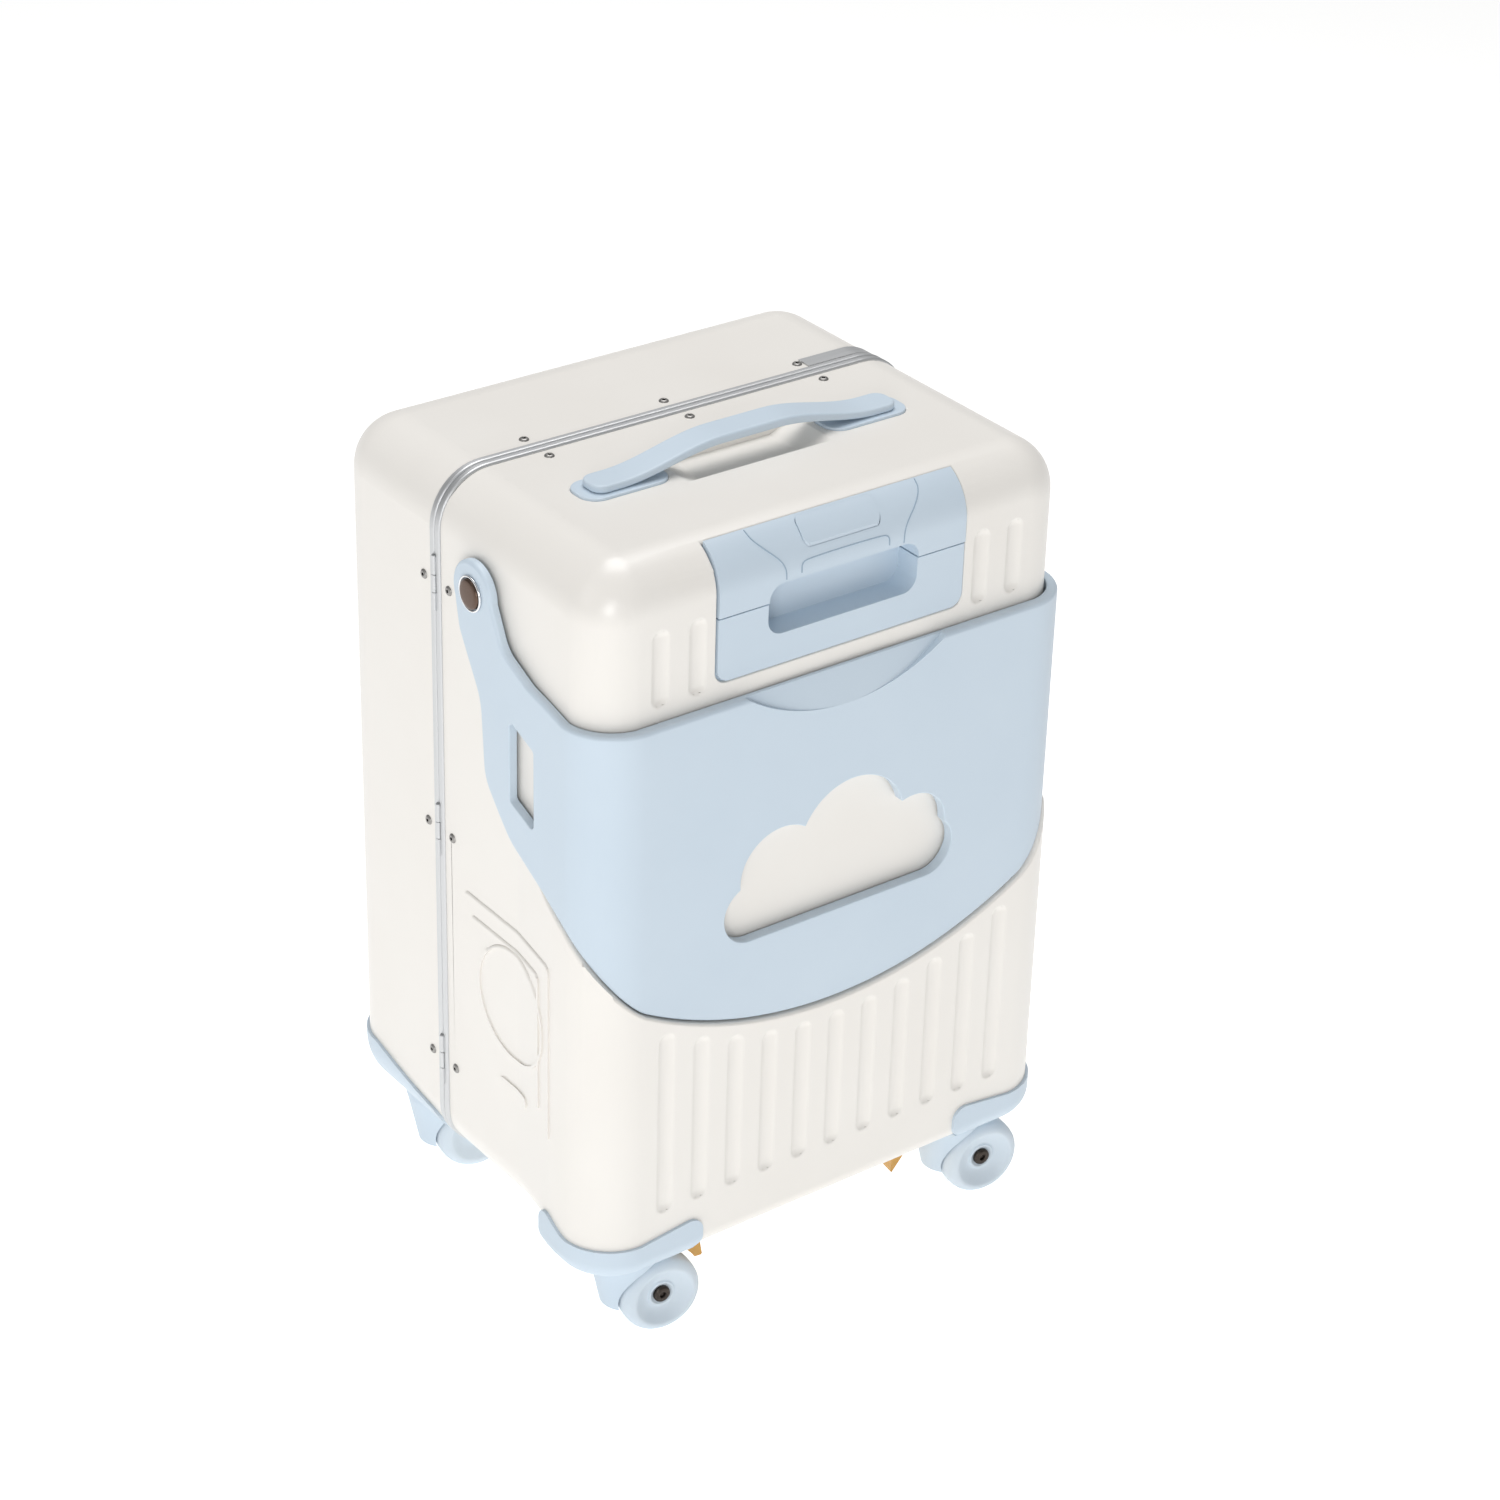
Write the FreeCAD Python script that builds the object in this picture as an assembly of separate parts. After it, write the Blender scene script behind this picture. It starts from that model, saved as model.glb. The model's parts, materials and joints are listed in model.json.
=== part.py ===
import FreeCAD, Part
import math
import os

os.makedirs("parts", exist_ok=True)
Vec = FreeCAD.Vector
ORIGIN = Vec(0, 0, 0)
ALONG_X = Vec(1, 0, 0)
ALONG_Y = Vec(0, 1, 0)
ALONG_Z = Vec(0, 0, 1)
FRONTWARD = Vec(0, -1, 0)
FRONT = 1
REAR = -1

# Sizes are in millimetres. The front faces -Y, up is +Z and the wheels stand on Z = 0.
# A forward distance is measured from the plane where the two halves of the case meet.

# Shells
case_half_width = 183.5
case_bottom = 70.0
case_top = 578.5
case_corner = 36.0
wall = 3.0
rear_reach = 124.0
rear_edge_radius = 36.0
upper_reach = 179.0
upper_edge_radius = 32.0

# Thicker lower belt of the front shell
belt_front_step = 11.5
belt_side_step = 7.7
belt_tuck = 0.5
belt_bend_back = 102.5
belt_ease_back = 50.5
belt_bend_radius = 100.0
belt_corner = 37.0
belt_wall = 5.0
belt_gap = 1.2
toe_radius = 14.0
toe_overlap = 3.5

# Aluminium frame, with a bead on each side of the meeting plane
bead_width = 5.5
bead_proud = 1.5
bead_round = 1.6
bead_depth = 7.0
frame_gap = 0.25
flange_thickness = 2.0
flange_width = 22.0

# Rivets
rivet_forward = 14.4
rivet_head_radius = 3.4
rivet_head_height = 1.4
rivet_head_round = 1.1
rivet_shank_radius = 1.8
rivet_top_spacing = 108.0
rivet_side_spacing = 180.0
rivet_side_middle = 325.0

# Flutes pressed into the front
flute_radius = 9.7
flute_depth = 2.4
flute_spacing = 27.3
flute_count = 11
flute_low = 119.5
flute_margin = 17.0
upper_flute_places = (110.5, 138.0)
upper_flute_drop = 89.2
upper_flute_length = 40.0

# Raised outlines on the sides
relief_height = 1.1
relief_line = 2.2
relief_ring_forward = 86.0
relief_ring_z = 234.0
relief_ring_radius = 42.0
relief_frame_top = 294.0
relief_frame_front = 137.0
relief_frame_back = 30.0
relief_frame_low = 162.0
relief_frame_step = 15.0
relief_pill_length = 34.0
relief_pill_height = 9.0
relief_pill_z = 167.0
relief_corner = 6.0

# Fold-over backrest that wraps the front
pivot_forward = 54.0
pivot_z = 522.5
hub_radius = 21.5
arm_clearance = 1.2
arm_thickness = 6.2
panel_clearance = 1.5
panel_thickness = 8.0
panel_corner = 38.0
panel_shell_gap = 0.9
panel_rim_z = 474.0
edge_arc_radius = 300.0
edge_arc_low = 230.0
edge_knee_forward = 94.0
edge_knee_z = 365.0
edge_slope = 0.6
neck_forward = 62.0
neck_z = 452.0
lens_half_length = 78.0
lens_depth = 25.0
lens_bite = 5.5
wrap_ease_lead = 10.0
wrap_ease_radius = 30.0
heel_step = 6.0
heel_drop = 30.0
heel_round = 25.0
neck_round = 40.0
waist_step = 4.0
waist_rise = 33.0
waist_round = 30.0
knee_round = 40.0
brow_step = 52.0
brow_rise = 9.0
brow_round = 30.0
notch_step = 26.0
notch_rise = 22.0
notch_round = 20.0
window_back = 95.0
window_width = 25.0
window_low = 384.0
window_height = 68.0
window_slant = 11.0
window_corner = 3.0

# Cloud-shaped cut-out in the backrest, with each puff as (x, rise above the base's top, radius)
cloud_z = 340.0
cloud_half_width = 92.0
cloud_base_height = 42.0
cloud_puffs = ((-48.0, 2.0, 32.0), (8.0, 10.0, 42.0), (58.0, -4.0, 27.0))

# Backrest pins
pin_radius = 6.0
pin_cap_radius = 10.5
pin_cap_height = 2.6
pin_depth = 24.0
pin_boss_radius = 16.0
washer_radius = 15.0
running_gap = 0.06
moving_gap = 0.35

# Trolley handle
cup_half_width = 95.7
cup_height = 91.5
cup_split_drop = 48.2
cup_corner = 9.0
cup_margin = 3.0
grip_depth = 17.5
grip_proud = 1.3
finger_half_width = 58.0
finger_low_drop = 70.5
finger_high_drop = 35.5
finger_corner = 11.0
tube_half_spacing = 78.0
tube_setback = 11.4
tube_radius = 8.0
tube_wall = 1.1
tube_foot = 84.0
tube_stagger = 8.0
socket_depth = 14.0
split_gap = 1.2
pocket_gap = 1.2
button_half_length = 30.0
button_half_depth = 6.5
button_margin = 2.5
button_corner = 4.0
button_floor = 13.0
button_travel = 3.0
button_gap = 0.4
button_proud = 0.7

# Carry handle on top
strap_forward = 71.0
strap_width = 22.0
strap_half_length = 118.0
strap_thickness = 6.0
strap_end_thickness = 4.0
strap_rise = 11.0
strap_travel = 10.0
pad_inner = 62.0
pad_outer = 126.0
pad_width = 30.0
pad_sink = 4.0
pad_proud = 1.4
pad_corner = 12.0
scoop_half_length = 58.0
scoop_slope = 20.0
scoop_depth = 9.0
scoop_width = 44.0
scoop_lip = 2.0
scoop_round = 6.0
seat_corner = 8.0
post_place = 96.0
post_radius = 4.0
post_head_radius = 7.0
post_head_height = 3.0
post_room = 1.0
post_web = 2.0

# Casters
caster_from_side = 53.2
caster_from_front = 42.0
caster_from_rear = 46.0
caster_angle = -8.0
trail = 18.0
wheel_radius = 28.5
wheel_width = 18.5
wheel_shoulder = 5.0
dish_radius = 20.0
dish_depth = 5.5
dish_round = 4.0
rim_width = 2.5
rim_rise = 0.8
web_width = 9.0
wheel_side_gap = 0.8
axle_radius = 3.5
axle_head_radius = 6.0
axle_head_height = 3.0
swivel_gap = 0.5
fork_plate_radius = 25.0
fork_plate_height = 6.0
wheel_headroom = 1.2
web_front = 14.0
web_toe = 10.0
web_toe_depth = 12.0
web_lean = 2.5
axle_boss_radius = 9.0
hood_low = 20.0
hood_low_radius = 17.0
stem_radius = 5.0
stem_height = 6.5
stem_roof = 0.6
boss_radius = 27.0
housing_skin = 2.2
housing_length = 66.0
housing_front_length = 85.0
housing_low_edge = 74.0
housing_side_tip = 108.0
housing_front_tip = 100.0
housing_corner_top = 94.0
rear_housing_top = 112.0
rear_housing_tip = 92.0
rear_housing_back_tip = 82.0
housing_round = 10.0
housing_bend = 30.0
housing_frame_gap = 4.0
lever_reach = 52.0
lever_half_width = 12.0
lever_thickness = 3.0
lever_pin_radius = 1.5
tongue_half_width = 4.0
tongue_tip = 2.8
tongue_wall = 0.8
tread_start = 3.4
tread_toe = 1.0
tread_rise = 16.0
tread_room = 4.0
free_tread_rise = 3.5
tread_brow = 3.0

# Lid hinges on the left side
knuckle_radius = 1.8
knuckle_length = 12.0
knuckle_gap = 0.5
hinge_pin_radius = 0.9
leaf_depth = 3.0
hinge_cap_height = 1.0

# Latches and lock on the right side
latch_below_rivet = 100.0
latch_above_rivet = 110.0
latch_half_height = 17.0
latch_forward = 27.0
latch_plate = 2.0
latch_lever_thickness = 4.0
latch_lever_back = 8.0
latch_pin_radius = 1.6
latch_side_margin = 2.0
latch_rib_half_height = 4.0
frame_margin = 1.0
strike_length = 13.0
lock_above_rivet = 50.0
lock_half_height = 26.0
lock_barrel_radius = 7.0
lock_barrel_length = 5.0
key_slot_width = 1.6
key_slot_height = 8.0
key_slot_depth = 1.5
rail_width = 12.0
rail_start = 6.5
rail_proud = 1.0
rail_from_x = 112.0
rail_above_latch = 12.0
rail_rivet_room = 0.4

# Board inside the front half that covers the trolley tubes
board_gap = 8.0
board_thickness = 2.0

# Reach of cutting blocks past the part, overrun past a face, and the closeness that counts as touching
far = 400.0
over = 1.0
touch = 0.001

# Tied sizes
belt_reach = upper_reach + belt_front_step
belt_half_width = case_half_width + belt_side_step
belt_bend = belt_reach - belt_bend_back
belt_ease = belt_reach - belt_ease_back
toe_start = belt_reach - housing_length + toe_overlap
wrap_ease = belt_ease - wrap_ease_lead
caster_side = belt_half_width - caster_from_side
meeting_y = (belt_reach - rear_reach) / 2
bead_half_width = case_half_width + bead_proud
arm_inner = bead_half_width + arm_clearance
arm_outer = arm_inner + arm_thickness
side_inner = case_half_width + panel_shell_gap
side_outer = side_inner + arm_thickness
panel_inner = upper_reach + panel_clearance
panel_outer = panel_inner + panel_thickness
corner_x = side_outer - panel_corner
corner_forward = panel_outer - panel_corner
edge_arc_z = edge_arc_low + edge_arc_radius
fork_plate_low = 2 * wheel_radius + wheel_headroom
fork_plate_high = fork_plate_low + fork_plate_height
housing_low = fork_plate_high + swivel_gap
shell_edge = bead_width + frame_gap
plate_start = shell_edge + frame_margin
rear_housing_length = rear_reach - shell_edge - housing_frame_gap
hinge_x = -bead_half_width
hinge_half_length = 1.5 * knuckle_length + knuckle_gap
hinge_places = [rivet_side_middle + step * rivet_side_spacing for step in (-1, 0, 1)]
tube_inner = tube_radius - tube_wall
middle_radius = tube_inner - running_gap
middle_inner = middle_radius - tube_wall
inner_radius = middle_inner - running_gap
inner_hole = inner_radius - tube_wall
middle_foot = tube_foot + tube_stagger
inner_foot = middle_foot + tube_stagger
upper_flute_low = case_top - upper_flute_drop
upper_flute_high = upper_flute_low + upper_flute_length
cup_low = case_top - cup_height
cup_split = case_top - cup_split_drop
finger_low = case_top - finger_low_drop
finger_high = case_top - finger_high_drop
grip_back = upper_reach - grip_depth
tube_forward = upper_reach - tube_setback
grip_low = cup_split + split_gap
inner_top = grip_low + socket_depth
button_low = finger_high + button_floor
button_forward = grip_back + button_margin + button_half_depth
tray_back = grip_back - pocket_gap - cup_margin
board_front = tray_back - board_gap
strap_base = case_top + pad_proud + moving_gap
post_stop = case_top - pad_sink - post_web
post_foot = post_stop - moving_gap - strap_travel - post_head_height
post_top = strap_base + strap_rise * (1 - (post_place / strap_half_length) ** 2) + strap_thickness / 2
front_caster_forward = belt_reach - caster_from_front
rear_caster_forward = caster_from_rear - rear_reach
stem_top = fork_plate_high + stem_height
lever_z = fork_plate_high - lever_thickness
lever_pin_place = fork_plate_radius + lever_thickness + moving_gap
latch_places = (rivet_side_middle - latch_below_rivet, rivet_side_middle + latch_above_rivet)
lock_z = rivet_side_middle + lock_above_rivet
latch_face = case_half_width + latch_plate
latch_pin_x = latch_face + moving_gap + latch_lever_thickness / 2
latch_pin_forward = latch_forward - latch_lever_thickness / 2 - frame_margin
lock_forward = (plate_start + latch_forward) / 2


def at(x, forward, z):
    return Vec(x, meeting_y - forward, z)


def block(x0, x1, forward0, forward1, z0, z1):
    return Part.makeBox(x1 - x0, forward1 - forward0, z1 - z0, at(x0, forward1, z0))


def rod(start, direction, radius, length):
    return Part.makeCylinder(radius, length, start, direction)


def joined(shapes):
    whole = shapes[0]
    if len(shapes) > 1:
        whole = whole.fuse(shapes[1:])
    return whole.removeSplitter()


def mirrored(shape):
    return shape.mirror(ORIGIN, ALONG_X)


def both_sides(shape):
    return [shape, mirrored(shape)]


def outline(points, place):
    """Closed wire through (a, b, radius) corners, each rounded by its radius."""
    corners = []
    count = len(points)
    for index, (a, b, radius) in enumerate(points):
        here = Vec(a, b, 0)
        before = Vec(points[index - 1][0], points[index - 1][1], 0)
        after = Vec(points[(index + 1) % count][0], points[(index + 1) % count][1], 0)
        back = (before - here).normalize()
        ahead = (after - here).normalize()
        half_angle = back.getAngle(ahead) / 2
        if radius == 0:
            corners.append((here, None, here))
            continue
        setback = radius / math.tan(half_angle)
        middle = here + (back + ahead).normalize() * (radius / math.sin(half_angle) - radius)
        corners.append((here + back * setback, middle, here + ahead * setback))
    edges = []
    for index, (start, middle, end) in enumerate(corners):
        if middle is not None:
            edges.append(Part.Arc(place(start), place(middle), place(end)).toShape())
        next_start = corners[(index + 1) % count][0]
        if (end - next_start).Length > touch:
            edges.append(Part.makeLine(place(end), place(next_start)))
    return Part.Wire(edges)


def front_prism(points, forward0, forward1):
    wire = outline(points, lambda p: at(p.x, forward0, p.y))
    return Part.Face(wire).extrude(Vec(0, forward0 - forward1, 0))


def side_prism(points, x0, x1):
    wire = outline(points, lambda p: at(x0, p.x, p.y))
    return Part.Face(wire).extrude(Vec(x1 - x0, 0, 0))


def plan_prism(points, z0, z1):
    wire = outline(points, lambda p: at(p.x, p.y, z0))
    return Part.Face(wire).extrude(Vec(0, 0, z1 - z0))


def rectangle(a0, a1, b0, b1, radius):
    return [(a0, b0, radius), (a1, b0, radius), (a1, b1, radius), (a0, b1, radius)]


def edges_in_plane(shape, axis, value):
    found = []
    for edge in shape.Edges:
        box = edge.BoundBox
        low, high = ((box.YMin, box.YMax), (box.ZMin, box.ZMax))[axis]
        if abs(low - value) < touch and abs(high - value) < touch:
            found.append(edge)
    return found


def half_body(side, grow, start, reach, edge_radius):
    """One half of the case as a solid: side is 1 for the front and -1 for the rear."""
    points = rectangle(-case_half_width - grow, case_half_width + grow,
                       case_bottom - grow, case_top + grow, case_corner + grow)
    low, high = sorted((side * start, side * (reach + grow)))
    body = front_prism(points, low, high)
    rim = edges_in_plane(body, 0, meeting_y - side * (reach + grow))
    return body.makeFillet(edge_radius + grow, rim)


def upper_skin(grow):
    return half_body(FRONT, grow, shell_edge, upper_reach, upper_edge_radius)


def belt_body(grow, low_radius):
    """The lower belt as a full-height block with one rounding along its bottom, before its top edge is cut."""
    back = case_half_width - belt_tuck + grow
    front = belt_half_width + grow
    reach = belt_reach + grow
    points = [(-back, shell_edge, 0), (-back, belt_bend, belt_bend_radius),
              (-front, belt_ease, belt_bend_radius), (-front, reach, belt_corner + grow),
              (front, reach, belt_corner + grow), (front, belt_ease, belt_bend_radius),
              (back, belt_bend, belt_bend_radius), (back, shell_edge, 0)]
    low = case_bottom - grow
    body = plan_prism(points, low, panel_rim_z)
    rim = [edge for edge in edges_in_plane(body, 1, low)
           if edge.BoundBox.YMin < meeting_y - shell_edge - touch]
    return body.makeFillet(low_radius + grow, rim)


def belt_with_toe():
    """The belt with a tighter bottom rounding in front, whose start lies under the front corner covers."""
    toe_room = block(-far, far, toe_start, far, 0, far * 2)
    toe = belt_body(0, toe_radius).common(toe_room)
    return joined([toe, belt_body(0, case_corner).cut(toe_room)])


def edge_height_at_side(forward):
    return edge_knee_z - edge_slope * (forward - edge_knee_forward)


def edge_height_at_front(x):
    return edge_arc_z - math.sqrt(edge_arc_radius ** 2 - x ** 2)


def corner_height(turn):
    """Height of the backrest's lower edge round the corner, from the side (0) to the front (1)."""
    start = edge_height_at_side(corner_forward)
    end = edge_height_at_front(corner_x)
    length = panel_corner * math.pi / 2
    start_slope = -edge_slope * length
    end_slope = -length * corner_x / (edge_arc_z - end)
    return ((2 * turn ** 3 - 3 * turn ** 2 + 1) * start + (turn ** 3 - 2 * turn ** 2 + turn) * start_slope
            + (3 * turn ** 2 - 2 * turn ** 3) * end + (turn ** 3 - turn ** 2) * end_slope)


def corner_curve(radius, shift):
    points = []
    steps = 8
    for step in range(steps + 1):
        turn = step / steps
        angle = turn * math.pi / 2
        points.append(at(corner_x + radius * math.cos(angle), corner_forward + radius * math.sin(angle),
                         corner_height(turn) + shift))
    curve = Part.BSplineCurve()
    curve.interpolate(points)
    return curve.toShape()


def front_above_edge(shift):
    ends = edge_height_at_front(corner_x) + shift
    left = at(-corner_x, corner_forward, ends)
    right = at(corner_x, corner_forward, ends)
    bottom = at(0, corner_forward, edge_arc_low + shift)
    right_top = at(corner_x, corner_forward, far * 2)
    left_top = at(-corner_x, corner_forward, far * 2)
    wire = Part.Wire([Part.Arc(left, bottom, right).toShape(), Part.makeLine(right, right_top),
                      Part.makeLine(right_top, left_top), Part.makeLine(left_top, left)])
    return Part.Face(wire).extrude(Vec(0, -far / 2, 0))


def corner_above_edge(shift):
    inside = panel_corner / 4
    outside = panel_corner * 2
    face = Part.makeRuledSurface(corner_curve(inside, shift), corner_curve(outside, shift))
    return face.extrude(Vec(0, 0, far))


def side_above_edge(shift):
    top = far * 2
    low = edge_height_at_side(corner_forward) + shift
    high = edge_height_at_side(0) + shift
    points = [(corner_forward, low, 0), (corner_forward, top, 0), (0, top, 0), (0, high, 0)]
    return side_prism(points, corner_x - panel_corner, far)


def wrap_outline(back, arm, side, reach, corner):
    """Plan outline of the backrest's inner or outer face, from arm to arm round the front."""
    hub_flat = neck_forward + hub_radius
    right = [(arm, back, 0), (arm, hub_flat, belt_bend_radius), (side, wrap_ease, wrap_ease_radius),
             (side, reach, corner)]
    left = [(-x, forward, radius) for x, forward, radius in right]
    return left + right[::-1]


def arm_outline():
    """Side outline of one arm, from the hub's back edge down, forward and up to the hub's front edge."""
    return [(pivot_forward - hub_radius, pivot_z, 0),
            (pivot_forward - hub_radius + heel_step, pivot_z - heel_drop, heel_round),
            (neck_forward, neck_z, neck_round),
            (neck_forward + waist_step, edge_knee_z + waist_rise, waist_round),
            (edge_knee_forward, edge_knee_z, knee_round),
            (corner_forward, edge_height_at_side(corner_forward), 0),
            (corner_forward, panel_rim_z, 0),
            (neck_forward + brow_step, panel_rim_z + brow_rise, brow_round),
            (neck_forward + notch_step, panel_rim_z + notch_rise, notch_round),
            (pivot_forward + hub_radius, pivot_z, 0)]


def arm_window():
    front = window_back + window_width
    points = [(window_back, window_low + window_slant, window_corner), (front, window_low, window_corner),
              (front, window_low + window_height - window_slant, window_corner),
              (window_back, window_low + window_height, window_corner)]
    return side_prism(points, -far, far)


def rim_lens():
    """Shallow lens-shaped bevel in the middle of the top rim."""
    radius = (lens_half_length ** 2 + lens_depth ** 2) / (2 * lens_depth)
    low = panel_rim_z - lens_depth
    disc = rod(at(0, panel_inner, low + radius), FRONTWARD, radius, far)
    points = [(panel_outer, low, 0), (panel_outer + far, low, 0), (panel_outer + far, panel_rim_z, 0),
              (panel_outer - lens_bite, panel_rim_z, 0)]
    return disc.common(side_prism(points, -far, far))


def build_backrest():
    outer = plan_prism(wrap_outline(0, arm_outer, side_outer, panel_outer, panel_corner), 0, far * 2)
    inner_corner = panel_corner - arm_thickness
    inner = plan_prism(wrap_outline(-over, arm_inner, side_inner, panel_inner, inner_corner), 0, far * 2)
    wrap = outer.cut(inner)
    below_rim = block(-far, far, 0, far, 0, panel_rim_z)
    front = wrap.common(front_above_edge(0)).common(below_rim)
    corner = wrap.common(corner_above_edge(0)).common(below_rim)
    arm = side_prism(arm_outline(), corner_x - panel_corner, far)
    hub = rod(at(corner_x, pivot_forward, pivot_z), ALONG_X, hub_radius, far)
    arm_side = wrap.common(arm.fuse(hub))
    whole = joined([front] + both_sides(corner) + both_sides(arm_side))
    bore = rod(at(-far, pivot_forward, pivot_z), ALONG_X, pin_radius + running_gap, 2 * far)
    return whole.cut([bore, arm_window(), rim_lens(), cloud()])


def cloud():
    """Plain cloud-shaped cut-out in the middle of the panel."""
    start = panel_inner - over
    end = panel_outer + over
    base_points = rectangle(-cloud_half_width, cloud_half_width, cloud_z - cloud_base_height, cloud_z,
                            cloud_base_height / 2)
    shapes = [front_prism(base_points, start, end)]
    for x, rise, radius in cloud_puffs:
        shapes.append(rod(at(x, start, cloud_z + rise), FRONTWARD, radius, end - start))
    return joined(shapes)


def ring(x, radius, height, width):
    """Flat ring that stands out from x, round the relief's centre on one side."""
    centre = at(x, relief_ring_forward, relief_ring_z)
    return rod(centre, ALONG_X, radius, height).cut(rod(centre, ALONG_X, radius - width, height))


def line_frame(x, inset, height):
    back = relief_frame_back + inset / 2
    front = relief_frame_front - inset
    top = relief_frame_top - inset
    low = relief_frame_low + inset
    inner_front = front - relief_line
    inner_top = top - relief_line
    points = [(back, top, 0), (front, top, relief_corner), (front, low, 0), (inner_front, low, 0),
              (inner_front, inner_top, relief_corner - relief_line), (back, inner_top, 0)]
    return side_prism(points, x, x + height)


def side_relief(body):
    """Raised ring, lines and pill on one side: the grown body, cut to their outlines."""
    x = case_half_width - wall
    depth = far - x
    half_length = relief_pill_length / 2
    half_height = relief_pill_height / 2
    pill_points = rectangle(relief_ring_forward - half_length, relief_ring_forward + half_length,
                            relief_pill_z - half_height, relief_pill_z + half_height, half_height)
    pill = side_prism(pill_points, x, far)
    shapes = joined([ring(x, relief_ring_radius, depth, relief_line), line_frame(x, 0, depth),
                     line_frame(x, relief_frame_step, depth), pill])
    return body.common(shapes)


def flute(x, surface, low, high):
    depth = surface + flute_radius - flute_depth
    capsule = [rod(at(x, depth, low), ALONG_Z, flute_radius, high - low)]
    for z in (low, high):
        capsule.append(Part.makeSphere(flute_radius, at(x, depth, z)))
    return joined(capsule)


def rounded_window(half_width, low, high, radius, forward0, forward1):
    points = [(-half_width, low, radius), (half_width, low, radius),
              (half_width, high, 0), (-half_width, high, 0)]
    return front_prism(points, forward0, forward1)


def rivet_places(side):
    """Each rivet as (point on the shell's outer face, outward direction)."""
    places = []
    forward = side * rivet_forward
    for step in (-1, 0, 1):
        x = step * rivet_top_spacing
        places.append((at(x, forward, case_top), ALONG_Z))
        places.append((at(x, forward, case_bottom), Vec(0, 0, -1)))
        z = rivet_side_middle + step * rivet_side_spacing
        places.append((at(-case_half_width, forward, z), Vec(-1, 0, 0)))
        places.append((at(case_half_width, forward, z), ALONG_X))
    return places


def rivet_holes(side):
    holes = []
    depth = wall + flange_thickness + over
    for point, out in rivet_places(side):
        holes.append(rod(point - out * depth, out, rivet_shank_radius, depth + over))
    return holes


def build_rivets(side):
    rivets = []
    grip_depth = wall + flange_thickness
    for point, out in rivet_places(side):
        shank = rod(point - out * grip_depth, out, rivet_shank_radius, grip_depth)
        head = rod(point, out, rivet_head_radius, rivet_head_height)
        top = point + out * rivet_head_height
        rim = [edge for edge in head.Edges if (edge.CenterOfMass - top).Length < touch]
        head = head.makeFillet(rivet_head_round, rim)
        rivets.append(joined([shank, head]))
    return Part.makeCompound(rivets)


def frame_ring(outside, inside, low, high):
    """Ring that follows the case's edge, between two offsets from the shells' outer face."""
    bodies = []
    for grow in (outside, inside):
        points = rectangle(-case_half_width - grow, case_half_width + grow,
                           case_bottom - grow, case_top + grow, case_corner + grow)
        bodies.append(front_prism(points, low, high))
    return bodies[0].cut(bodies[1])


def is_outer_rim(edge):
    box = edge.BoundBox
    side = max(abs(box.XMin), abs(box.XMax))
    return box.ZMax > case_top or box.ZMin < case_bottom or side > case_half_width


def knuckle_lows(side):
    """Lower ends of one half's knuckles: two outer ones at each hinge in front, a middle one behind."""
    lows = []
    for z in hinge_places:
        if side == FRONT:
            lows += [z - hinge_half_length, z + hinge_half_length - knuckle_length]
        else:
            lows.append(z - knuckle_length / 2)
    return lows


def hinge_leaf(side, low):
    """Leaf let into the frame's bead beside one knuckle."""
    near, away = sorted((side * frame_gap * 2, side * (bead_width - bead_round)))
    return block(hinge_x, hinge_x + leaf_depth, near, away, low, low + knuckle_length)


def hinge_recesses(side):
    """Room in one half's bead for its leaves and for every barrel and cap."""
    room = [hinge_leaf(side, low) for low in knuckle_lows(side)]
    length = 2 * hinge_half_length + hinge_cap_height + 2 * moving_gap
    for z in hinge_places:
        start = at(hinge_x, 0, z - hinge_half_length - moving_gap)
        room.append(rod(start, ALONG_Z, knuckle_radius + moving_gap, length))
    return room


def build_frame(side):
    low, high = sorted((side * frame_gap, side * shell_edge))
    bead = frame_ring(bead_proud, bead_proud - bead_depth, low, high)
    rims = []
    for forward in (low, high):
        rims += [edge for edge in edges_in_plane(bead, 0, meeting_y - forward) if is_outer_rim(edge)]
    bead = bead.makeFillet(bead_round, rims)
    low, high = sorted((side * frame_gap, side * flange_width))
    flange = frame_ring(-wall, -wall - flange_thickness, low, high)
    return joined([bead, flange]).cut(rivet_holes(side) + hinge_recesses(side))


def knuckle(side, low):
    barrel = rod(at(hinge_x, 0, low), ALONG_Z, knuckle_radius, knuckle_length)
    hole = rod(at(hinge_x, 0, low - over), ALONG_Z, hinge_pin_radius + running_gap, knuckle_length + 2 * over)
    return joined([barrel, hinge_leaf(side, low)]).cut(hole)


def build_hinge_leaves(side):
    return Part.makeCompound([knuckle(side, low) for low in knuckle_lows(side)])


def build_hinge_pins():
    pins = []
    for z in hinge_places:
        shank = rod(at(hinge_x, 0, z - hinge_half_length), ALONG_Z, hinge_pin_radius, 2 * hinge_half_length)
        cap = rod(at(hinge_x, 0, z + hinge_half_length), ALONG_Z, knuckle_radius, hinge_cap_height)
        pins.append(joined([shank, cap]))
    return Part.makeCompound(pins)


def tubes(radius, hole, low, high):
    pair = []
    for x in (-tube_half_spacing, tube_half_spacing):
        tube = rod(at(x, tube_forward, low), ALONG_Z, radius, high - low)
        if hole > 0:
            tube = tube.cut(rod(at(x, tube_forward, low - over), ALONG_Z, hole, high - low + 2 * over))
        pair.append(tube)
    return pair


def trolley_pocket():
    half = cup_half_width + pocket_gap
    return block(-half, half, grip_back - pocket_gap, far, cup_split, far * 2)


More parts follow.
